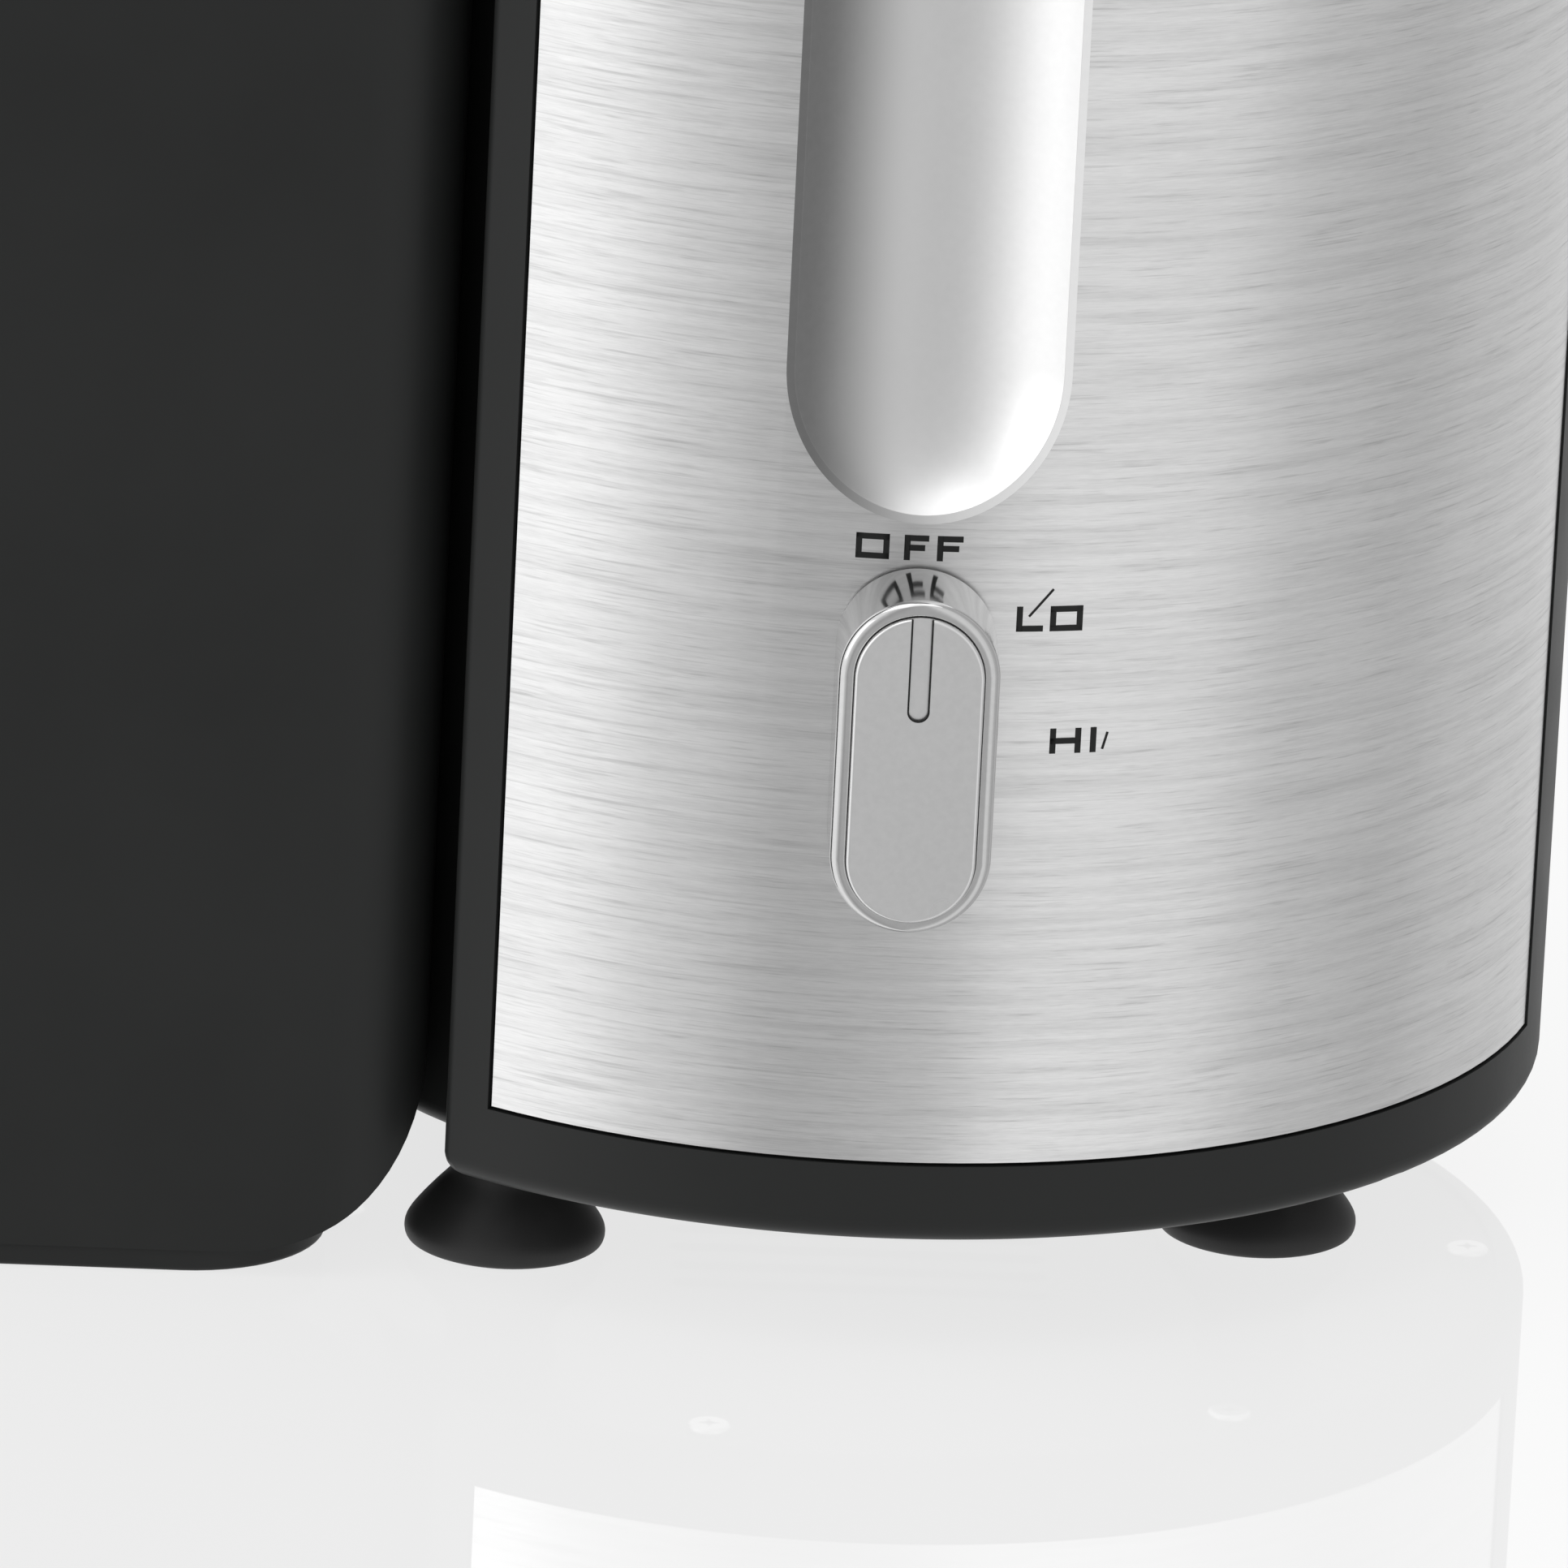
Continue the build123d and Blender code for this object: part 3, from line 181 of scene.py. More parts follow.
def mouldedPlastic(name, level, tint=(0.97, 1.02, 1.0), rough=plasticLook["rough"]):
    m = Maker(name)
    place = m.place()
    patches = m.noise(place, plasticLook["patches"], 4)
    fine = m.noise(place, plasticLook["grain"], 2)
    dark, light = (grey(level * shade, tint) for shade in plasticLook["shades"])
    colour = m.mix(m.between(patches, *noiseSpan), dark, light)
    roughness = m.between(patches, *noiseSpan, *rough) + (fine - 0.5) * plasticLook["speckle"]
    return m.finish(Base_Color=colour, Roughness=roughness, Normal=m.bump(fine, *plasticLook["bump"]),
                    Specular_IOR_Level=plasticLook["shine"])


# each layer's stretch along the sheet, through it and up it, then detail, roughness, lowest and highest value
steelLayers = {
    "streaks": ((75, 10, 2300), 3, 0.6, 0.27, 0.45),
    "broad": ((24, 10, 620), 4, 0.6, 0.28, 0.58),
    "fine": ((420, 10, 5200), 2, 0.5, 0.25, 0.75),
    "marks": ((34, 10, 1450), 4, 0.6, 0.32, 0.47),
    "clouds": ((9, 10, 16), 2, 0.55, 0.3, 0.7),
}
steelLook = {
    "shares": (0.46, 0.34, 0.20), "cloudDepth": (0.86, 1.0),
    "paintedShadeFrom": (-0.045, 0.010), "depths": (0.60, 0.10),        # painted shade: the marks darken the left of the sheet, fading out between these two arcs
    "shades": (0.47, 0.86), "rough": 0.36, "shinier": 0.08, "along": 0.7, "turned": 0.25,
    "bump": (0.16, 0.00008),
}


def brushedPanel():
    m = Maker("brushed_panel")
    unrolled = m.round()

    def layer(name, *depths):
        stretch, detail, rough, low, high = steelLayers[name]
        return m.between(m.noise(m.stretched(stretch, unrolled), 1.0, detail, rough), low, high, *depths)

    streaks, broad, fine, marks = (layer(name) for name in ("streaks", "broad", "fine", "marks"))
    clouds = layer("clouds", *steelLook["cloudDepth"])
    shares = steelLook["shares"]
    scratch = streaks * shares[0] + broad * shares[1] + fine * shares[2]
    # the brushing marks are real texture; their darkening towards the left of the sheet is painted shade
    leftShade = m.between(m.parts(unrolled)[0], *steelLook["paintedShadeFrom"], *steelLook["depths"])
    tone = scratch * clouds * (1.0 - leftShade * (1.0 - marks))
    dark, light = (grey(level) for level in steelLook["shades"])
    return m.finish(Base_Color=m.mix(tone, dark, light), Metallic=1.0,
                    Roughness=steelLook["rough"] - scratch * steelLook["shinier"],
                    Anisotropic=steelLook["along"], Anisotropic_Rotation=steelLook["turned"],
                    Normal=m.bump(scratch, *steelLook["bump"]))


satinLook = {"grain": (900, 900, 900), "clouds": 30, "dark": 0.95, "sway": 0.03, "bump": (0.05, 0.00004)}


def satinMetal(name, level, rough, grain=satinLook["grain"]):
    m = Maker(name)
    place = m.place()
    fine = m.noise(m.stretched(grain, place), 1.0, 3)
    clouds = m.noise(place, satinLook["clouds"], 3)
    colour = m.mix(m.between(fine, *noiseSpan), grey(level * satinLook["dark"]), grey(level))
    roughness = m.between(clouds, *noiseSpan, rough - satinLook["sway"], rough + satinLook["sway"])
    return m.finish(Base_Color=colour, Metallic=1.0, Roughness=roughness,
                    Normal=m.bump(fine, *satinLook["bump"]))


rubberLook = {"grain": 1800, "dust": 60, "dustFrom": (0.45, 0.75), "dusty": 1.7, "rough": (0.50, 0.66),
              "bump": (0.12, 0.00006), "shine": 0.4}


def softRubber(name, level=0.018):
    m = Maker(name)
    place = m.place()
    fine = m.noise(place, rubberLook["grain"], 3)
    dust = m.noise(place, rubberLook["dust"], 5)
    colour = m.mix(m.between(dust, *rubberLook["dustFrom"]), grey(level), grey(level * rubberLook["dusty"]))
    return m.finish(Base_Color=colour, Roughness=m.between(dust, *noiseSpan, *rubberLook["rough"]),
                    Normal=m.bump(fine, *rubberLook["bump"]), Specular_IOR_Level=rubberLook["shine"])


clearLook = {"wipes": (18, 18, 60), "wipesFrom": (0.45, 0.75), "rough": (0.03, 0.09), "bump": (0.02, 0.0002),
             "glass": 1.46}


def clearPlastic(name, colour):
    m = Maker(name)
    wipes = m.noise(m.stretched(clearLook["wipes"], m.place()), 1.0, 5)
    roughness = m.between(wipes, *clearLook["wipesFrom"], *clearLook["rough"])
    return m.finish(Base_Color=colour, Roughness=roughness, Transmission_Weight=1.0, IOR=clearLook["glass"],
                    Normal=m.bump(wipes, *clearLook["bump"]))


looks = {
    "black_plastic": mouldedPlastic("satin_black_plastic", 0.015),
    "dark_plastic": mouldedPlastic("dark_moulded_plastic", 0.011),
    "white_plastic": mouldedPlastic("white_moulded_plastic", 0.70, (1, 1, 0.97)),
    "brushed_steel": brushedPanel(),
    "satin_silver": satinMetal("satin_silver", 0.80, 0.30),
    "polished_chrome": satinMetal("polished_chrome", 0.64, 0.10),
    "perforated_steel": satinMetal("perforated_steel", 0.72, 0.28),
    "clear_plastic": clearPlastic("clear_plastic", (0.86, 0.88, 0.90, 1)),
    "rubber": softRubber("black_rubber"),
    "silicone": softRubber("grey_silicone", 0.30),
    "steel": satinMetal("machined_steel", 0.62, 0.30),
    "zinc_steel": satinMetal("zinc_plated_steel", 0.64, 0.36),
    "laminated_iron": satinMetal("laminated_iron", 0.30, 0.50, (20, 20, 2400)),
    "copper": mouldedPlastic("enamelled_copper", 0.45, (1.15, 0.45, 0.20), (0.28, 0.36)),
    "commutator_copper": satinMetal("turned_copper", 0.6, 0.3),
    "cast_alloy": satinMetal("die_cast_alloy", 0.60, 0.48),
    "carbon": mouldedPlastic("carbon_block", 0.03),
    "circuit_board": mouldedPlastic("circuit_board", 0.10, (0.35, 1.2, 0.45)),
}
# deep is how dark the painted shade gets on the left of the groove, as a share of level; the pair after it is
# where that painted shade fades out across the groove
channelLook = {"level": 0.96, "deep": 0.25, "paintedShadeSpan": (0.06, 0.66), "grain": 700, "fleck": (0.05, 0.5),
               "clouds": 30, "rough": (0.33, 0.39), "bump": (0.06, 0.00004)}


# blasted silver with painted shade across the groove: darker on the left, lighter towards the right
def channelShadedFinish():
    m = Maker("channel_silver")
    place = m.place()
    low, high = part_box("channel_insert")
    across = m.between(m.parts(place)[0], low.x, high.x)
    start, end = channelLook["paintedShadeSpan"]
    # painted shade across the groove: dark at its left, rising smoothly to the full level towards the right
    thick = m.node("ShaderNodeMapRange", {"interpolation_type": "SMOOTHSTEP"},
                   {"Value": across, 1: start, 2: end})
    level = channelLook["level"]
    shadedCoat = m.mix(thick, grey(level * channelLook["deep"]), grey(level))
    fine = m.noise(place, channelLook["grain"], 3)
    share, fleck = channelLook["fleck"]
    colour = m.mix(m.between(fine, *noiseSpan, 0.0, share), shadedCoat, grey(fleck))
    roughness = m.between(m.noise(place, channelLook["clouds"]), *noiseSpan, *channelLook["rough"])
    return m.finish(Base_Color=colour, Metallic=1.0, Roughness=roughness,
                    Normal=m.bump(fine, *channelLook["bump"]))


# the channel's finish, with painted shade across its groove
channelShadedPaint = channelShadedFinish()
for part in frame["record"]["subparts"]:
    mesh = nodes[part["node"]].data
    mesh.materials.clear()
    mesh.materials.append(looks[part["material_slot"]])
print("materials made")


def pieceFrom(name, mesh, slot, body, *replaced, look=None):
    made = bpy.data.objects.new(name, mesh)
    bpy.context.scene.collection.objects.link(made)
    mesh.materials.clear()
    mesh.materials.append(look or looks[slot])
    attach(made, body)
    if replaced:
        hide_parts(*replaced)
    return made


def smoothAll(mesh, angle=40):
    mesh.shade_smooth()
    mesh.set_sharp_from_angle(angle=math.radians(angle))
    return mesh


# writes the worked shape to a mesh, with its faces outwards where asked
def settle(work, mesh, outwards=True):
    if outwards:
        bmesh.ops.recalc_face_normals(work, faces=work.faces)
    work.to_mesh(mesh)
    work.free()
    return mesh


# skins a run of four-cornered rows and closes both ends
def skinRows(work, rows):
    for one, two in zip(rows[:-1], rows[1:]):
        for k in range(4):
            work.faces.new((one[k], one[(k + 1) % 4], two[(k + 1) % 4], two[k]))
    work.faces.new(rows[0])
    work.faces.new(rows[-1])


# turns (radius, height) points round an upright axis through centre
def lathe(name, profile, centre, steps):
    count = len(profile)
    points = []
    for step in range(steps):
        turn = 2 * math.pi * step / steps
        for radius, height in profile:
            points.append((centre[0] + radius * math.cos(turn), centre[1] + radius * math.sin(turn),
                           centre[2] + height))
    faces = []
    for step in range(steps):
        here, there = step * count, (step + 1) % steps * count
        for row in range(count - 1):
            faces.append((here + row, there + row, there + row + 1, here + row + 1))
    mesh = bpy.data.meshes.new(name)
    mesh.from_pydata(points, [], faces)
    work = bmesh.new()
    work.from_mesh(mesh)
    bmesh.ops.remove_doubles(work, verts=work.verts, dist=1e-6)
    return smoothAll(settle(work, mesh))


# a smooth run through the points given, for soft moulded profiles
def curvePoints(points, steps):
    out = []
    padded = [points[0], *points, points[-1]]
    for index in range(1, len(padded) - 2):
        p0, p1, p2, p3 = (np.array(padded[index + k], float) for k in (-1, 0, 1, 2))
        for step in range(steps):
            t = step / steps
            out.append(tuple(0.5 * ((2 * p1) + (p2 - p0) * t + (2 * p0 - 5 * p1 + 4 * p2 - p3) * t * t
                                    + (3 * p1 - p0 - 3 * p2 + p3) * t ** 3)))
    out.append(points[-1])
    return out


# a point on the panel's face, from the arc's length to the right of the front and the height
def unroll(arc, height, lift=0.0):
    radius = panelRadius + lift
    turn = arc / panelRadius
    return (axisX + radius * math.sin(turn), -radius * math.cos(turn), height)


# (radius, height) in mm; the lip's and the rim's radii are measured inwards from the foot's edge
footLook = {
    "steps": 72, "smooth": 6,
    "cup": [(0.0, 6.6), (3.0, 6.5), (7.0, 4.2)],
    "lip": [(2.4, 0.2)],
    "rim": [(1.5, 0.0), (0.35, 0.6), (0.0, 1.9), (0.4, 3.3), (1.8, 5.3)],
    "waist": [(10.7, 7.9), (8.7, 10.1), (8.0, 11.4), (7.9, 12.0)],
    "neck": [(7.9, 12.4), (7.6, 12.7), (7.6, 13.3), (7.9, 13.6), (7.9, 17.0), (0.0, 17.2)],
}


def suctionFoot(place):
    low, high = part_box("foot_" + place)
    centre = ((low.x + high.x) / 2, (low.y + high.y) / 2, 0)
    edge = (high.x - low.x) / 2
    cup, waist, neck = ([(r * mm, h * mm) for r, h in footLook[key]] for key in ("cup", "waist", "neck"))
    lip, rim = ([(edge - r * mm, h * mm) for r, h in footLook[key]] for key in ("lip", "rim"))
    profile = cup + lip + curvePoints(rim + waist, footLook["smooth"]) + neck
    name = "suction_foot_" + place
    return pieceFrom(name, lathe(name, profile, centre, footLook["steps"]), "rubber", "base", "foot_" + place)


for corner in ("front_left", "front_right", "rear_left", "rear_right"):
    suctionFoot(corner)
print("feet made")

# generic control words in square strokes, drawn flat on the panel
markLook = {"stroke": 0.88 * mm, "thick": 0.06 * mm, "tall": 3.75 * mm, "tick": 0.34 * mm, "pieces": 6}
strokes = {
    "O": [((0, 0), (1, 0)), ((1, 0), (1, 1)), ((1, 1), (0, 1)), ((0, 1), (0, 0))],
    "F": [((0, 0), (0, 1)), ((0, 1), (1, 1)), ((0, 0.5), (0.8, 0.5))],
    "L": [((0, 1), (0, 0)), ((0, 0), (1, 0))],
    "H": [((0, 0), (0, 1)), ((1, 0), (1, 1)), ((0, 0.5), (1, 0.5))],
    "I": [((0, 0), (0, 1))],
}
words = [        # glyph, outer left and right edges, middle height above the knob's axis, all in mm
    ("O", -9.3, -4.5, 27.5), ("F", -2.4, 1.1, 27.5), ("F", 2.3, 6.0, 27.5),
    ("L", 14.2, 18.1, 17.1), ("O", 19.1, 23.9, 17.1), ("H", 20.0, 24.6, -1.3), ("I", 26.0, 26.8, -1.3)]
ticks = [((16.1, 17.6), (19.3, 21.4)), ((27.9, -2.6), (28.5, -0.4))]


# one flat bar that follows the panel, from start to end, as (arc, height) points
def strokeBar(work, start, end, width):
    a, b = np.array(start), np.array(end)
    along = (b - a) / max(np.linalg.norm(b - a), 1e-9)
    side = np.array([-along[1], along[0]]) * width / 2
    a, b = a - along * width / 2, b + along * width / 2
    thick = markLook["thick"]
    rows = []
    for step in range(markLook["pieces"] + 1):
        spot = a + (b - a) * step / markLook["pieces"]
        corners = [(spot + side, 0.0), (spot - side, 0.0), (spot - side, thick), (spot + side, thick)]
        rows.append([work.verts.new(unroll(q[0], q[1], lift)) for q, lift in corners])
    skinRows(work, rows)


def controlMarks():
    knobZ = middle("speed_knob").z
    half = markLook["stroke"] / 2
    work = bmesh.new()
    for glyph, left, right, height in words:
        left, right = left * mm + half, right * mm - half
        low = knobZ + height * mm - markLook["tall"] / 2 + half
        high = low + markLook["tall"] - 2 * half
        wide, tall = max(right - left, 0), high - low
        for ends in strokes[glyph]:
            first, last = [(left + x * wide, low + y * tall) for x, y in ends]
            strokeBar(work, first, last, markLook["stroke"])
    for ends in ticks:
        first, last = [(x * mm, knobZ + y * mm) for x, y in ends]
        strokeBar(work, first, last, markLook["tick"])
    mesh = settle(work, bpy.data.meshes.new("control_marks"))
    return pieceFrom("control_marks", mesh, "dark_plastic", "base")


controlMarks()
print("control marks made")


# a copy of a CAD part with its loose triangles joined, and the work on it
def mergedCopy(node):
    source = nodes[node]
    mesh = source.data.copy()
    mesh.transform(source.matrix_world)
    work = bmesh.new()
    work.from_mesh(mesh)
    bmesh.ops.remove_doubles(work, verts=work.verts, dist=2e-6)
    return mesh, work


softLook = {"segments": 3, "sharp": 28, "flat": 0.4, "shade": 35}        # angles in degrees


# a CAD part with rounded edges, shown in its place
def softened(node, body, slot, width, look=None):
    mesh, work = mergedCopy(node)
    flat, sharp = math.radians(softLook["flat"]), math.radians(softLook["sharp"])
    bmesh.ops.dissolve_limit(work, angle_limit=flat, verts=work.verts, edges=work.edges)
    edges = [e for e in work.edges if len(e.link_faces) == 2 and e.calc_face_angle(0) > sharp]
    bmesh.ops.bevel(work, geom=edges, offset=width, segments=softLook["segments"], profile=0.5,
                    affect="EDGES", clamp_overlap=True)
    mesh = smoothAll(settle(work, mesh), softLook["shade"])
    made = pieceFrom(node + "_soft", mesh, slot, body, node, look=look)
    weigh = made.modifiers.new("weigh", "WEIGHTED_NORMAL")
    weigh.keep_sharp = True
    return made


softEdges = {
    "speed_knob": ("knob", "polished_chrome", 0.55 * mm),
    "knob_cap": ("knob", "satin_silver", 0.30 * mm),
    "front_clamp": ("front_clamp", "black_plastic", 0.8 * mm),
    "rear_clamp": ("rear_clamp", "black_plastic", 0.8 * mm),
    "channel_insert": ("base", "satin_silver", 0.32 * mm, channelShadedPaint),
}
for node, settings in softEdges.items():
    softened(node, *settings)
print("soft edges made")


# the safety plunger's spring, carried with the plunger on a mesh of its own; on the machine it shortens as
# the plunger is pressed
def plungerSpring():
    mesh, work = mergedCopy("plunger_spring")
    mesh = smoothAll(settle(work, mesh, outwards=False))
    made = pieceFrom("plunger_coil", mesh, "steel", "plunger", "plunger_spring")
    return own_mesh(made)


plungerSpring()
print("spring made")

# the thin outline engraved in the knob's cap
pointerLook = {"half": 1.45 * mm, "line": 0.24 * mm, "long": 13.6 * mm, "inset": 0.25 * mm, "sink": 0.10 * mm,
               "thick": 3, "steps": 14}


def pointerLine():
    low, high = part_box("knob_cap")
    half, steps, sink = pointerLook["half"], pointerLook["steps"], pointerLook["sink"]
    face = low.y + sink
    centreX, top = (low.x + high.x) / 2, high.z - pointerLook["inset"]
    bottom = top - pointerLook["long"]
    path = [(-half, top), (-half, bottom)]
    for step in range(1, steps):
        turn = math.pi * step / steps
        path.append((-half * math.cos(turn), bottom - half * math.sin(turn)))
    path += [(half, bottom), (half, top)]
    corners = [(1, 0), (-1, 0), (-1, sink * pointerLook["thick"]), (1, sink * pointerLook["thick"])]
    work = bmesh.new()
    rows = []
    for index, spot in enumerate(path):
        before, after = path[max(index - 1, 0)], path[min(index + 1, len(path) - 1)]
        along = Vector((after[0] - before[0], after[1] - before[1])).normalized()
        side = Vector((-along.y, along.x)) * pointerLook["line"] / 2
        rows.append([work.verts.new((centreX + spot[0] + k * side.x, face + d, spot[1] + k * side.y))
                     for k, d in corners])
    skinRows(work, rows)
    mesh = settle(work, bpy.data.meshes.new("pointer_line"))
    return pieceFrom("pointer_line", mesh, "dark_plastic", "knob")


pointerLine()
print("pointer line made")


# a small upright prism, centred on z = 0
def prism(name, sides, radius, height):
    turns = [2 * math.pi * k / sides for k in range(sides)]
    ring = [(radius * math.cos(turn), radius * math.sin(turn)) for turn in turns]
    points = [(x, y, -height / 2) for x, y in ring] + [(x, y, height / 2) for x, y in ring]
    faces = [tuple(range(sides))[::-1], tuple(range(sides, 2 * sides))]
    faces += [(k, (k + 1) % sides, sides + (k + 1) % sides, sides + k) for k in range(sides)]
    mesh = bpy.data.meshes.new(name)
    mesh.from_pydata(points, [], faces)
    return mesh


# the stamp at each spot with its z along the spot's aim, up to spread smaller, as one plain mesh
def repeated(name, spots, aims, stamp, slot, body, spread=0.04, seed=7):
    cloud = bpy.data.meshes.new(name + "_spots")
    cloud.from_pydata([tuple(p) for p in spots], [], [])
    aimed = cloud.attributes.new("aim", "FLOAT_VECTOR", "POINT")
    aimed.data.foreach_set("vector", [c for a in aims for c in a])
    holder = bpy.data.objects.new(name + "_holder", cloud)
    pattern = bpy.data.objects.new(name + "_pattern", stamp)
    for made in (holder, pattern):
        bpy.context.scene.collection.objects.link(made)
    g = Graph(bpy.data.node_groups.new(name + "_repeat", "GeometryNodeTree"))
    sockets = g.tree.interface
    sockets.new_socket("Geometry", in_out="INPUT", socket_type="NodeSocketGeometry")
    spreadSocket = sockets.new_socket("Size spread", in_out="INPUT", socket_type="NodeSocketFloat")
    sockets.new_socket("Geometry", in_out="OUTPUT", socket_type="NodeSocketGeometry")
    start = g.node("NodeGroupInput", out="Geometry")
    shape = g.node("GeometryNodeObjectInfo", {}, {"Object": pattern}, "Geometry")
    aim = g.node("GeometryNodeInputNamedAttribute", {"data_type": "FLOAT_VECTOR"}, {"Name": "aim"},
                 "Attribute")
    turn = g.node("FunctionNodeAlignRotationToVector", {"axis": "Z"}, {"Vector": aim}, "Rotation")
    smallest = 1.0 - start.at("Size spread")
    size = g.node("FunctionNodeRandomValue", {"data_type": "FLOAT"}, {2: smallest, 3: 1.0, "Seed": seed}, 1)
    stamped = g.node("GeometryNodeInstanceOnPoints", {},
                     {"Points": start, "Instance": shape, "Rotation": turn, "Scale": size})
    real = g.node("GeometryNodeRealizeInstances", {}, {0: stamped})
    painted = g.node("GeometryNodeSetMaterial", {}, {0: real, "Material": looks[slot]})
    g.node("NodeGroupOutput", {}, {0: painted})
    modifier = holder.modifiers.new("repeat", "NODES")
    modifier.node_group = g.tree
    modifier[spreadSocket.identifier] = spread
    mesh = bpy.data.meshes.new_from_object(holder.evaluated_get(bpy.context.evaluated_depsgraph_get()))
    mesh.name = name
    holder.modifiers.clear()
    for made in (holder, pattern):
        bpy.data.objects.remove(made)
    return pieceFrom(name, mesh, slot, body)


def roundAxis(radius, turn, height):
    return (axisX + radius * math.cos(turn), radius * math.sin(turn), height)


# start and span are shares of the wall's height
filterLook = {"pitch": 2.3 * mm, "hole": 0.52 * mm, "sides": 6, "rows": 15, "wall": 0.8 * mm,
              "proud": 0.08 * mm, "start": 0.10, "span": 0.82}


# dark plugs through the basket's wall, one at each hole: painted shade standing for the openings
def filterHoleShades():
    low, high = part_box("filter_mesh")
    discLow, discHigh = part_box("grater_disc")
    foot = (discHigh.x - discLow.x) / 2 + filterLook["wall"] / 2
    top = (high.x - low.x) / 2 - filterLook["wall"] / 2
    rise, run = high.z - low.z, top - foot
    spots, aims = [], []
    for row in range(filterLook["rows"]):
        share = filterLook["start"] + filterLook["span"] * row / (filterLook["rows"] - 1)
        radius = foot + run * share
        count = int(2 * math.pi * radius / filterLook["pitch"])
        for step in range(count):
            turn = 2 * math.pi * (step + 0.5 * (row % 2)) / count
            spots.append(roundAxis(radius, turn, low.z + rise * share))
            aims.append(Vector((rise * math.cos(turn), rise * math.sin(turn), -run)).normalized())
    deep = filterLook["wall"] + filterLook["proud"]
    stamp = prism("filter_hole", filterLook["sides"], filterLook["hole"], deep)
    return repeated("filter_holes", spots, aims, stamp, "carbon", "basket")


graterLook = {"rings": (9.5, 19, 29, 39, 43.5), "pitch": 5.2 * mm, "floor": 1.2 * mm, "lean": 0.45,
              "twist": 300, "half": (0.8 * mm, 0.9 * mm), "root": 0.5 * mm, "tip": 1.1 * mm,
              "spread": 0.15, "seed": 11}


def graterTeeth():
    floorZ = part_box("grater_disc")[0].z + graterLook["floor"]
    lean = graterLook["lean"]
    spots, aims = [], []
    for ring in graterLook["rings"]:
        radius = ring * mm
        count = int(2 * math.pi * radius / graterLook["pitch"])
        for step in range(count):
            turn = 2 * math.pi * step / count + radius * graterLook["twist"]
            spots.append(roundAxis(radius, turn, floorZ))
            aims.append(Vector((-lean * math.sin(turn), lean * math.cos(turn), 1)).normalized())
    x, y = graterLook["half"]
    corners = [(sx * x, sy * y, -graterLook["root"]) for sx, sy in ((-1, -1), (1, -1), (1, 1), (-1, 1))]
    stamp = bpy.data.meshes.new("grater_tooth")
    stamp.from_pydata([*corners, (0, 0, graterLook["tip"])], [],
                      [(3, 2, 1, 0), (0, 1, 4), (1, 2, 4), (2, 3, 4), (3, 0, 4)])
    return repeated("grater_teeth", spots, aims, stamp, "steel", "basket",
                    graterLook["spread"], graterLook["seed"])


recessLook = {"reach": 1.5 * mm, "deep": 0.1 * mm, "slim": 0.34, "face": 0.4 * mm, "apart": 9 * mm, "seed": 3}


# a flat dark cross on the head of each bottom screw: painted shade standing for its recess
def screwRecessShades():
    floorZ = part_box("bottom_screws")[0].z
    mesh = nodes["bottom_screws"].data
    world = nodes["bottom_screws"].matrix_world
    apart = recessLook["apart"]
    heads = {}
    for vertex in mesh.vertices:
        place = world @ vertex.co
        if place.z < floorZ + recessLook["face"]:
            key = next((k for k in heads if (Vector(k) - place.xy).length < apart), tuple(place.xy))
            heads.setdefault(key, []).append(place.xy)
    spots = []
    for group in heads.values():
        across, along = [p.x for p in group], [p.y for p in group]
        spots.append(((min(across) + max(across)) / 2, (min(along) + max(along)) / 2, floorZ))
    work = bmesh.new()
    for axis in (0, 1):
        blade = prism("screw_recess", 4, recessLook["reach"], recessLook["deep"])
        for vertex in blade.vertices:
            vertex.co[axis] *= recessLook["slim"]
        work.from_mesh(blade)
    stamp = settle(work, blade, outwards=False)
    aims = [(0, 0, -1)] * len(spots)
    return repeated("screw_recesses", spots, aims, stamp, "carbon", "base", 0.0, recessLook["seed"])


filterHoleShades()
graterTeeth()
# the screws' recesses are drawn as dark crosses, which are painted shade
screwRecessShades()
print("repeated details made")

floorLook = {"glow": 1.03, "mirror": 0.16, "soft": 0.12, "polish": 0.02, "shades": (0.90, 0.92), "half": 14.0,
             "below": 0.0002}


def studioFloor():
    m = Maker("pale_floor")
    dark, light = (grey(level) for level in floorLook["shades"])
    colour = m.mix(m.between(m.noise(m.place(), 3, 2), *noiseSpan), dark, light)
    diffuse = m.node("ShaderNodeBsdfDiffuse", {}, {0: colour})
    glossy = m.node("ShaderNodeBsdfGlossy", {}, {"Roughness": floorLook["polish"]})
    glow = m.node("ShaderNodeEmission", {}, {"Strength": floorLook["glow"]})
    matt = m.node("ShaderNodeMixShader", {}, {0: floorLook["soft"], 1: glow, 2: diffuse})
    material = m.output(m.node("ShaderNodeMixShader", {}, {0: floorLook["mirror"], 1: matt, 2: glossy}))
    half = floorLook["half"]
    corners = [(-half, -half), (half, -half), (half, half), (-half, half)]
    mesh = bpy.data.meshes.new("studio_floor")
    mesh.from_pydata([(x, y, -floorLook["below"]) for x, y in corners], [], [(0, 1, 2, 3)])
    mesh.materials.append(material)
    floor = bpy.data.objects.new("studio_floor", mesh)
    bpy.context.scene.collection.objects.link(floor)
    floor.visible_glossy = False


backdrop = 0.94
skyRing = [        # degrees from the front, brightness
    (-180, 0.94), (-120, 1.00), (-80, 1.15), (-56, 1.10), (-38, 0.74), (-16, 0.47), (4, 0.55), (26, 0.90),
    (50, 0.86), (72, 0.60), (96, 0.52), (112, 0.62), (135, 0.68), (180, 0.94)]


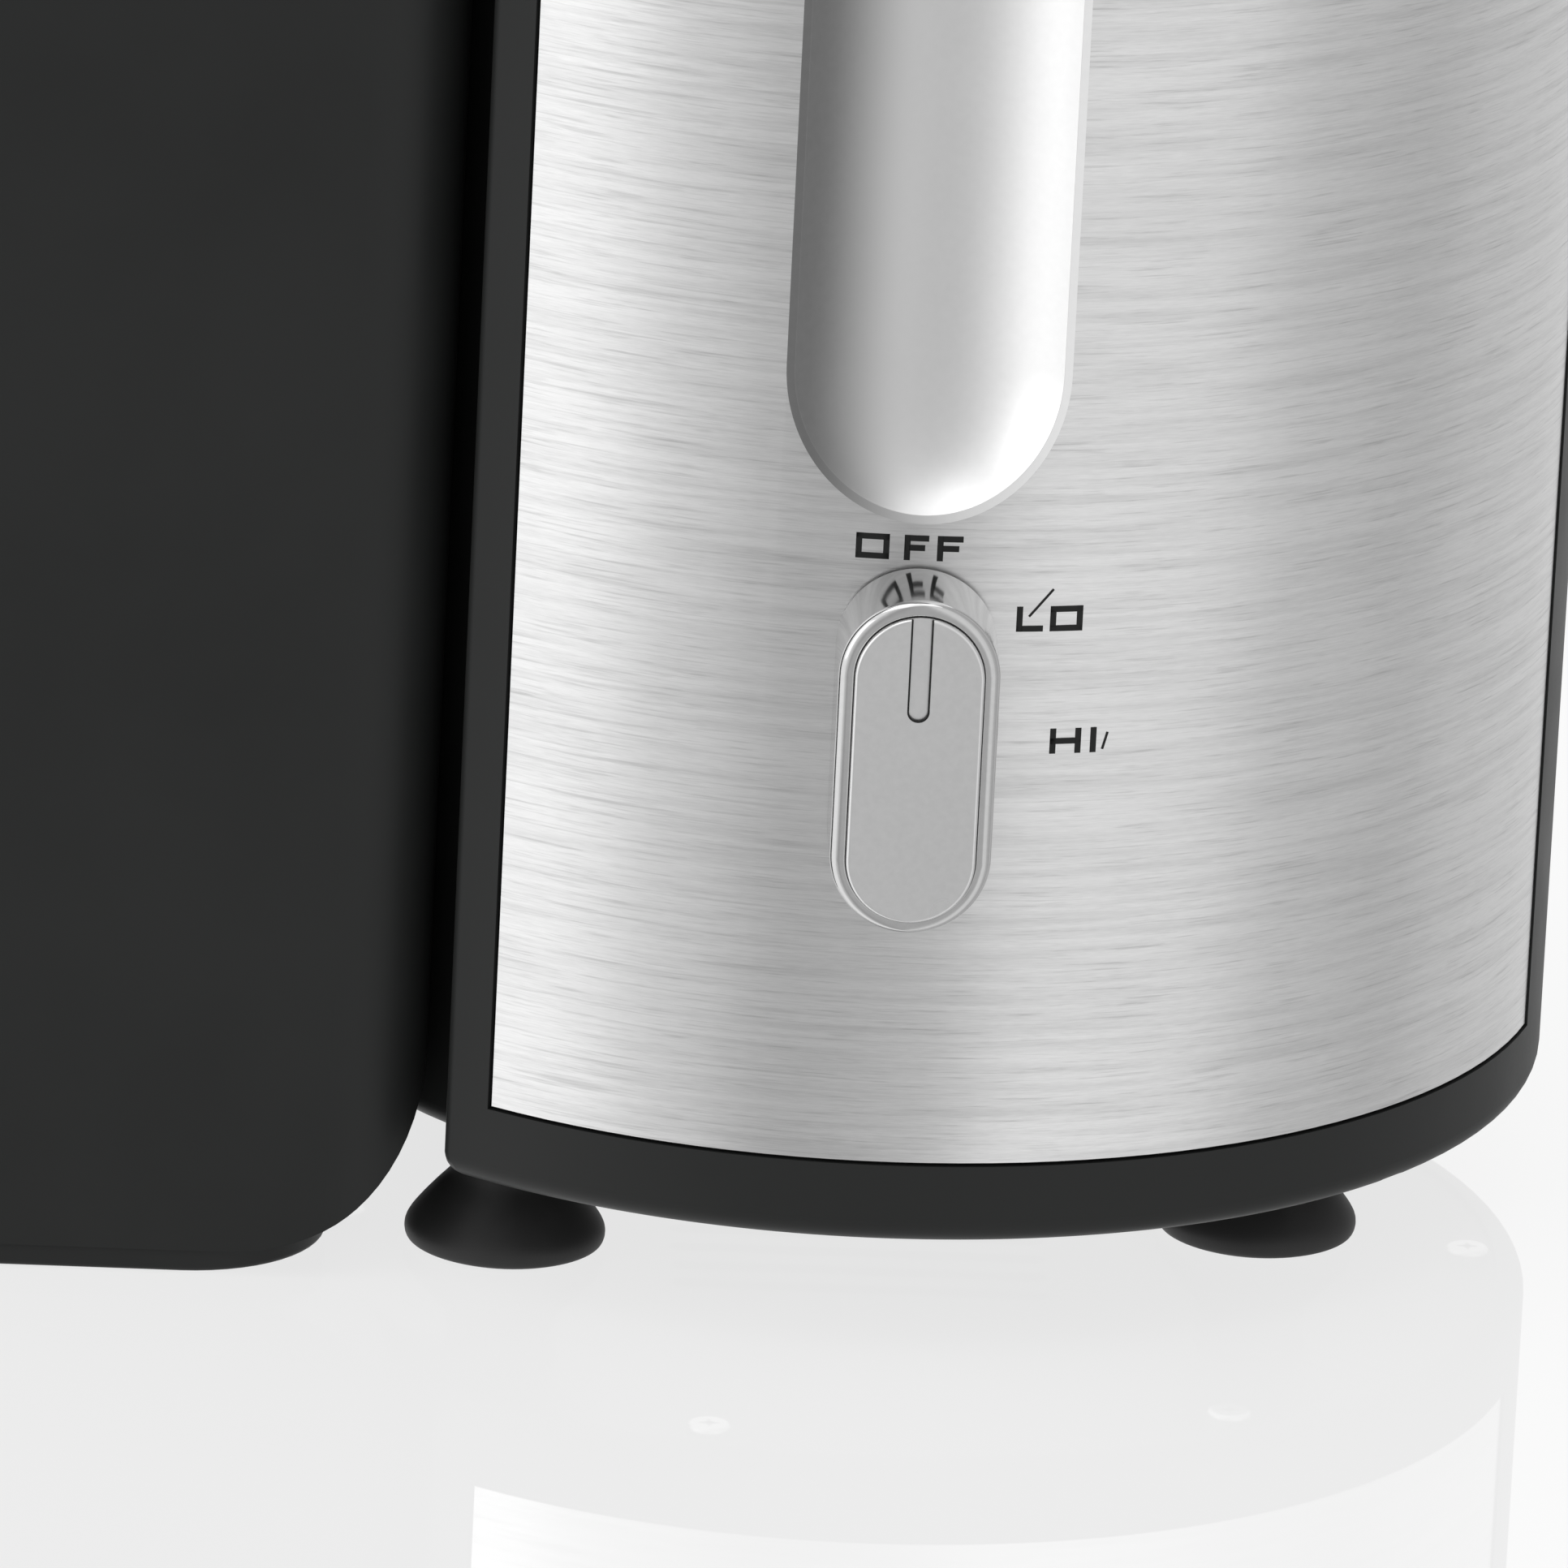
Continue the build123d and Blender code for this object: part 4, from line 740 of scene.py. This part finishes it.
# a soft ring of light round the object, behind a plain backdrop
def studioWorld():
    world = bpy.data.worlds.new("studio")
    bpy.context.scene.world = world
    world.use_nodes = True
    g = Graph(world.node_tree)
    x, y, z = g.parts(g.node("ShaderNodeTexCoord", out="Generated"))
    share = g.between(x.sum("ARCTAN2", y * -1), -math.pi, math.pi)
    stops = [((angle + 180) / 360, grey(level)) for angle, level in skyRing]
    ring = g.node("ShaderNodeValToRGB", {"easing": "EASE", "stops": stops}, {0: share})
    seen = g.node("ShaderNodeLightPath", out="Is Camera Ray")
    sky = g.node("ShaderNodeBackground", {}, {0: g.mix(seen, ring, grey(backdrop))})
    g.node("ShaderNodeOutputWorld", {}, {0: sky})


# place, size and power; both face a point a little above the floor
boxLook = {
    "top_softbox": ((-0.3, -0.2, 2.2), (1.8, 1.8), 9),
    "left_softbox": ((-2.6, -0.9, 1.0), (1.6, 2.2), 8),
}
boxAim = Vector((0, 0, 0.12))


def softBox(name, place, size, power):
    light = bpy.data.lights.new(name, "AREA")
    light.shape = "RECTANGLE"
    light.size, light.size_y = size
    light.energy = power
    made = bpy.data.objects.new(name, light)
    bpy.context.scene.collection.objects.link(made)
    made.location = place
    made.rotation_euler = (boxAim - Vector(place)).to_track_quat("-Z", "Y").to_euler()


# angles in degrees, lens and sensor in mm, the rest in metres
view = {"azimuth": -2.168, "elevation": 18.249, "roll": 2.829, "distance": 2.8383, "across": -0.01404,
        "up": 0.04992, "lens": 437.02, "sensor": 36, "reach": 60}


def studioCamera():
    a, e, r = (math.radians(view[k]) for k in ("azimuth", "elevation", "roll"))
    back = Vector((math.sin(a) * math.cos(e), -math.cos(a) * math.cos(e), math.sin(e)))
    right = Vector((math.cos(a), math.sin(a), 0))
    up = back.cross(right)
    aim = Vector((axisX, 0, 0)) + right * view["across"] + up * view["up"]
    turned = right * math.cos(r) + up * math.sin(r)
    upright = up * math.cos(r) - right * math.sin(r)
    camera = bpy.data.cameras.new("studio_camera")
    camera.lens = view["lens"]
    camera.sensor_width = view["sensor"]
    camera.clip_end = view["reach"]
    made = bpy.data.objects.new("studio_camera", camera)
    bpy.context.scene.collection.objects.link(made)
    basis = Matrix((turned, upright, back)).transposed().to_4x4()
    made.matrix_world = Matrix.Translation(aim + back * view["distance"]) @ basis
    bpy.context.scene.camera = made


studioFloor()
studioWorld()
for name, (place, size, power) in boxLook.items():
    softBox(name, place, size, power)
bpy.context.scene.view_settings.view_transform = "Standard"
studioCamera()
print("studio made")
